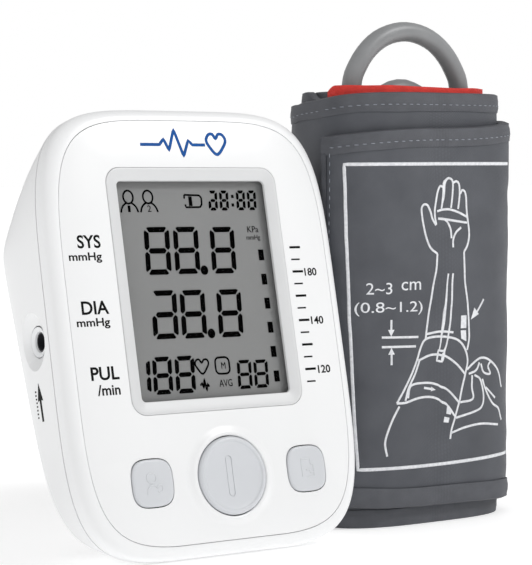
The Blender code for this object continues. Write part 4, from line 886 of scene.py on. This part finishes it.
def flapShare(turned):
    turnsLeft = (fullTurn - turned) / (2 * math.pi)      # counted from the flap's free edge
    lowered = min(1.0, max(0.0, (0.80 - turnsLeft) / 0.25))
    return lowered * (0.58 + 0.42 * max(0.0, 1 - turnsLeft / 0.42))


def lowEdge(turned):
    return cuff["flapRise"] * flapShare(turned)


def highEdge(turned):
    turnsLeft = (fullTurn - turned) / (2 * math.pi)
    slump = cuff["slump"] * math.exp(-max(0.0, turnsLeft - 0.93) / 0.11)
    underRed = cuff["redDip"] * min(1.0, max(0.0, min(turnsLeft - 1.93, 2.56 - turnsLeft) / 0.04))
    return cuff["height"] - max(slump, underRed, cuff["flapDrop"] * flapShare(turned))


def clothGrid(name, along, across, shape, thickness, finish, nodes=(), width=None, offset=-1.0):
    clearSelection()
    bpy.ops.mesh.primitive_grid_add(x_subdivisions=along, y_subdivisions=across, size=1)
    piece = newest(name)
    layer = piece.data.uv_layers.active
    layer.name = "weave"
    places = [(vert.co.x + 0.5, vert.co.y + 0.5) for vert in piece.data.vertices]
    for loop in piece.data.loops:
        a, b = places[loop.vertex_index]
        layer.data[loop.index].uv = (a * cuffLength, b * (width or cuff["height"]))
    for vert, (a, b) in zip(piece.data.vertices, places):
        vert.co = shape(a, b)
    bpy.ops.object.mode_set(mode="EDIT")
    bpy.ops.mesh.select_all(action="SELECT")
    bpy.ops.mesh.flip_normals()
    bpy.ops.object.mode_set(mode="OBJECT")
    applied(piece, "SOLIDIFY", thickness=thickness, offset=offset)
    return settle(piece, Matrix.Identity(4), finish, "cuff", nodes, smooth=60)


def clothOuter(a, b):
    turned = fullTurn * a
    low, high = lowEdge(turned), highEdge(turned)
    z = low + (high - low) * b
    edge = min(z - low, high - z)
    pillow = 0.3 * mm * (1 - min(1.0, edge / (9 * mm))) ** 2
    return rollPoint(turned, 1.4 * mm - pillow, z)


def liningOuter(a, b):
    turned = fullTurn * a
    low, high = lowEdge(turned), highEdge(turned)
    return rollPoint(turned, -0.62 * mm, low + (high - low) * b)


coarse = 1
cuffOuter = clothGrid("cuffOuter", 420 // coarse, 84 // coarse, clothOuter, 1.6 * mm, cuffCloth,
                      ["cuff_cloth", "cuff_bladder"])
cuffInner = clothGrid("cuffInner", 300 // coarse, 30 // coarse, liningOuter, 0.7 * mm, liningCloth,
                      ["cuff_lining"])


def tapeShape(top):
    def shape(a, b):
        turned = fullTurn * a
        edge = highEdge(turned) if top else lowEdge(turned)
        inwards = -1 if top else 1
        wave = 0.35 * mm * noise.noise(Vector((40 * a, 7 if top else 11, 0)))
        outer, inner, over = cuff["tape"] + wave, cuff["tape"] - 1 * mm, 0.45 * mm
        if b < 0.55:
            share = b / 0.55
            z = edge + inwards * outer * (1 - share)
            puff = 1.62 * mm + 0.22 * mm * math.sin(math.pi * min(1, share * 1.1)) \
                + 0.12 * mm * noise.noise(Vector((60 * a, 4 * share, 5)))
        elif b < 0.70:
            turn = math.pi * (b - 0.55) / 0.15
            z = edge - inwards * over * math.sin(turn)
            puff = 1.62 * mm * math.cos(turn)
        else:
            z = edge + inwards * inner * (b - 0.70) / 0.30
            puff = -1.62 * mm
        return rollPoint(turned, puff, z)
    return shape


topTape = clothGrid("topTape", 420 // coarse, 20, tapeShape(True), 0.3 * mm, cuffTape,
                    width=12 * mm)
bottomTape = clothGrid("bottomTape", 420 // coarse, 20, tapeShape(False), 0.3 * mm, cuffTape,
                       width=12 * mm)


def endTape(a, b):
    turned = fullTurn - (0.075 * (1 - b / 0.6) if b < 0.6 else 0.075 * (b - 0.7) / 0.3 if b > 0.7 else 0)
    z = lowEdge(fullTurn) + 5.2 * mm + (highEdge(fullTurn) - lowEdge(fullTurn) - 10.4 * mm) * a
    puff = 1.6 * mm if b < 0.6 else -1.6 * mm if b > 0.7 else 1.6 * mm * math.cos(math.pi * (b - 0.6) / 0.1)
    return rollPoint(turned, puff, z)


endBinding = clothGrid("endBinding", 90, 16, endTape, 0.3 * mm, cuffTape, width=8 * mm)


def redShape(a, b):
    turned = fullTurn - 2 * math.pi * (2.50 - 0.525 * a)
    wave = 0.5 * mm * noise.noise(Vector((9 * a, 3, 0)))
    lift = 0.5 * mm * noise.noise(Vector((7 * a, 8, 0)))
    droop = 2.0 * mm * max(0.0, (a - 0.95) / 0.05) ** 2
    return rollPoint(turned, 0.4 * mm + wave * b, 132 * mm + (11.1 * mm + 0.6 * lift - droop) * b)


redEdging = clothGrid("redEdging", 160, 16, redShape, 0.8 * mm, redCloth, ["red_edging"],
                      width=12 * mm)
print("cuff made, strip length %.3f m" % cuffLength)

# stitches and the printed panel on the flap


def stitches(name, rows, length, width, finish):
    made = bmesh.new()
    for turned, z, offset, upright in rows:
        spot = rollPoint(turned, offset, z)
        ahead = rollPoint(turned - 0.01, offset, z)
        way = Vector((0, 0, 1)) if upright else (ahead - spot).normalized()
        side = (ahead - spot).normalized() if upright else Vector((0, 0, 1))
        out = way.cross(side).normalized()
        turn = Matrix((way, side, out)).transposed().to_4x4()
        bmesh.ops.create_icosphere(made, subdivisions=1, radius=0.5, matrix=Matrix.Translation(spot) @ turn
                                   @ Matrix.Diagonal((length, width, width * 0.7, 1)))
    mesh = bpy.data.meshes.new(name)
    made.to_mesh(mesh)
    made.free()
    piece = bpy.data.objects.new(name, mesh)
    bpy.context.scene.collection.objects.link(piece)
    return settle(piece, Matrix.Identity(4), finish, "cuff", smooth=180)


rows = []
pace = 2.7 * mm
for top, firstTurn, lastTurn in ((True, 0.0, 0.98), (False, 0.0, 0.98), (True, 1.0, 2.0), (False, 1.0, 2.0)):
    along = cuffLength - 4 * mm if firstTurn == 0 else unrolled[round(2400 * (1 - firstTurn / cuff["turns"]))]
    lastAlong = unrolled[round(2400 * (1 - lastTurn / cuff["turns"]))]
    while along > lastAlong:
        turned = turnedAt(along)
        z = highEdge(turned) - 3.6 * mm if top else lowEdge(turned) + 3.6 * mm
        rows.append((turned, z, 1.88 * mm, False))
        along -= pace
stitches("tapeStitches", rows, 1.7 * mm, 0.3 * mm, threadGrey)
rows = [(turnedAt(cuffLength - 3.2 * mm), 15 * mm + pace * k, 1.66 * mm, True) for k in range(40)]
stitches("edgeStitches", rows, 1.7 * mm, 0.3 * mm, threadGrey)


def onFlap(piece):
    for vert in piece.data.vertices:
        along, z, out = vert.co
        vert.co = rollPoint(turnedAt(cuffLength - cuff["printShift"] - along), 1.42 * mm + out, z)
    activate(piece)
    bpy.ops.object.mode_set(mode="EDIT")
    bpy.ops.mesh.select_all(action="SELECT")
    bpy.ops.mesh.normals_make_consistent(inside=False)
    bpy.ops.object.mode_set(mode="OBJECT")
    return piece


def inMm(lines):
    return [[(x * mm, y * mm) for x, y in line] for line in lines]


panelFrame = [[(74, 20.5), (56, 20), (42, 19.6), (30, 19.5), (9, 19.5), (7.6, 40), (6.0, 72), (5.0, 100), (4.4, 117.5),
               (40, 117.8), (74, 118)]]
frameLines = drawnLines("printedFrame", inMm(panelFrame), 1.15 * mm, 0.16 * mm, 1.2 * mm, straight=True)
armLines = [
    [(38.5, 88.5), (35.5, 90.7), (33.5, 95), (32.5, 100), (32.1, 103.3), (33, 104.6), (34.5, 104.3), (35.8, 102.3),
     (36.6, 100), (38, 97.8)],
    [(38.1, 98), (37.6, 102), (38, 106.5), (38.7, 109.4), (39.7, 110.6), (41, 110.3)],
    [(40.8, 103.2), (41.2, 108), (41.4, 111.5), (42.4, 113), (43.8, 113), (44.8, 111.8), (44.7, 108), (44.4, 103.4)],
    [(44.9, 111.6), (46.4, 112.1), (47.5, 111.2), (47.8, 108), (47.5, 103)],
    [(48.1, 108), (48.9, 109.2), (50, 108.8), (50.7, 107), (51.2, 103), (51.8, 98), (52, 94), (51.1, 91), (49.6, 89)],
    [(38.6, 102.4), (43, 103), (47.5, 102), (51.4, 100.4)], [(39, 100), (43, 99.6), (47.5, 99), (51.2, 98.5)],
    [(39.2, 100), (41.9, 99.6), (43.8, 97), (44.4, 93.5)], [(48.5, 97), (46.2, 95.3), (45.1, 93), (45, 90.5)],
    [(38.5, 88.5), (38, 83.5), (36.6, 77), (35.2, 70.5), (34.5, 65.5), (34, 61)],
    [(49.6, 89), (50, 82), (51.2, 72.5), (52.1, 65.5), (52.4, 61), (51.7, 56.5)],
    [(43, 82), (42.1, 74), (41.4, 66), (40.6, 59.5), (40, 57)],
    [(45, 82), (44.5, 73), (43.9, 65), (42.8, 59.5), (41.8, 56.5)],
    [(34.5, 62.5), (40, 63.1), (45.5, 62.6)],
    [(22.5, 40.5), (25.8, 45.5), (28.5, 50), (30.6, 54.5), (31.9, 58), (33.8, 60.7), (38, 61.5), (43.5, 61.1),
     (47.8, 59.8), (50.8, 56.8), (52, 53), (51, 48.5)],
    [(31, 54), (36.5, 55.6), (42, 55), (47, 52.2), (51, 48.5)],
    [(31.6, 54.3), (29.6, 49.5), (27, 45), (25.8, 41.2)],
    [(22.5, 40.5), (26, 40.6), (30, 41.6), (34, 42), (38, 41.4), (42.4, 39), (46, 35)],
    [(26.8, 42), (28, 45.9), (33, 46.6), (38, 46), (43.4, 43.6), (47.6, 39.5)],
    [(51, 48.5), (48.6, 42), (46.2, 35), (44.7, 31), (44.4, 27.5)],
    [(23.5, 39.5), (21, 35.5), (19, 31), (18.2, 27.5), (19, 23.5)],
    [(51.8, 50), (55, 52.2), (58, 53.5), (61.5, 53), (65.5, 50.5), (68.2, 47), (69.5, 43)],
    [(52.5, 48.5), (56, 49.6), (57.5, 52)], [(58.2, 51.6), (59.6, 48.6), (62.8, 48), (61.8, 50.5), (63, 52)],
    [(54, 48), (53.6, 44), (53.5, 40.2), (48.2, 39.4)],
    [(55, 48), (57.5, 46.5), (58.6, 42.5), (58, 37.8), (55, 36), (46.4, 34.4)],
    [(58.6, 46.5), (60.6, 41.5), (63.2, 38), (66.8, 36), (69.3, 32)], [(60.2, 43.6), (64.6, 39.8)],
    [(44.6, 29.5), (50.5, 31), (58, 31.6), (67, 30.6)]]
handLines = drawnLines("armDrawing", inMm(armLines), 0.8 * mm, 0.14 * mm, 0.6 * mm)
markLines = [[(17, 62), (31, 61.7)], [(17, 58.9), (30, 58.7)], [(20.4, 67.6), (20.4, 64)], [(20.5, 53), (20.5, 56.8)],
             [(39.4, 57), (41.9, 56.6), (41.2, 53.2), (38.7, 53.6), (39.4, 57)], [(33.4, 45), (36.6, 44.4)],
             [(59, 73), (55.6, 68.8)]]
measureLines = drawnLines("measureLines", inMm(markLines), 0.8 * mm, 0.14 * mm, 0.7 * mm, straight=True)
solidMarks = [[(19.2, 64.4), (21.6, 64.4), (20.4, 62.2)], [(19.3, 56.4), (21.7, 56.4), (20.5, 58.6)],
              [(48.6, 68), (50.9, 68), (51, 63.8), (48.6, 63.8)],
              [(48.6, 63.1), (50.9, 63.1), (51.1, 59.4), (48.9, 60.4)],
              [(53, 66.5), (56.6, 68.2), (54.4, 70.4)], [(36.4, 45.2), (36.2, 43.7), (38.2, 44.1)],
              [(42.6, 39.2), (44.6, 37.2), (44.2, 35.6), (42.2, 36)],
              [(41.6, 35.1), (43.6, 34.6), (43.2, 33), (41.4, 33.3)]]
solidPieces = flatShapes("solidMarks", inMm(solidMarks), 0.14 * mm)
measureWords = [lettering("measureWords", words, *(value * mm for value in room), 0.14 * mm) for words, room in (
    ("2~3", (11.6, 20.6, 75.9, 79.6)), ("cm", (24.0, 31.8, 77.0, 79.8)), ("(0.8~1.2)", (7.8, 32.4, 69.0, 73.4)))]
for piece in (frameLines, handLines, measureLines, solidPieces, joinedUp("measureWords", measureWords)):
    settle(onFlap(piece), Matrix.Identity(4), inkWhite, "cuff", smooth=0)
print("stitches and print made")

# floor and light

clearSelection()
bpy.ops.mesh.primitive_plane_add(size=40, location=(0, 0, 0))
studioFloor = newest("studioFloor")
studioFloor.data.materials.append(floorWhite)
# the floor glows with painted light: an emission that rises with distance from the middle
floorShader = floorWhite.node_tree.nodes["Principled BSDF"]
floorShader.inputs["Emission Color"].default_value = (1.0, 1.0, 1.0, 1)
floorNodes, floorLinks = floorWhite.node_tree.nodes, floorWhite.node_tree.links
floorPlace, away, floorGlowRamp = (floorNodes.new(kind) for kind in (
    "ShaderNodeTexCoord", "ShaderNodeVectorMath", "ShaderNodeMapRange"))
away.operation = "LENGTH"
floorGlowRamp.inputs["From Min"].default_value = 0.10
floorGlowRamp.inputs["From Max"].default_value = 0.45
floorGlowRamp.inputs["To Min"].default_value = 0.36      # painted glow, lower near the object, which keeps its contact shadows
floorGlowRamp.inputs["To Max"].default_value = 0.62
floorLinks.new(floorPlace.outputs["Object"], away.inputs[0])
floorLinks.new(away.outputs["Value"], floorGlowRamp.inputs["Value"])
floorLinks.new(floorGlowRamp.outputs["Result"], floorShader.inputs["Emission Strength"])

room = bpy.data.worlds.new("studioRoom")
bpy.context.scene.world = room
room.use_nodes = True
roomNodes, roomLinks = room.node_tree.nodes, room.node_tree.links
glow = roomNodes["Background"]
glow.inputs["Color"].default_value = (1.0, 1.0, 1.0, 1)
glow.inputs["Strength"].default_value = 0.56
backdrop = roomNodes.new("ShaderNodeBackground")      # the backdrop is whiter than the light it gives
backdrop.inputs["Color"].default_value = (1.0, 1.0, 1.0, 1)
backdrop.inputs["Strength"].default_value = 1.0
seen = roomNodes.new("ShaderNodeLightPath")
either = roomNodes.new("ShaderNodeMixShader")
roomLinks.new(seen.outputs["Is Camera Ray"], either.inputs["Fac"])
roomLinks.new(glow.outputs["Background"], either.inputs[1])
roomLinks.new(backdrop.outputs["Background"], either.inputs[2])
roomLinks.new(either.outputs["Shader"], roomNodes["World Output"].inputs["Surface"])


def softLight(name, place, target, size, power):
    bpy.ops.object.light_add(type="AREA", location=place)
    lamp = newest(name)
    lamp.data.size = size
    lamp.data.energy = power
    lamp.rotation_euler = (Vector(target) - Vector(place)).to_track_quat("-Z", "Y").to_euler()
    return lamp


middle = (0, 0, 0.07)
softLight("keyLight", (0.75, -0.95, 1.25), middle, 0.45, 11.0)      # metres, then watts
softLight("fillLight", (-1.3, -0.4, 0.5), middle, 0.9, 1.2)
print("floor and light made")
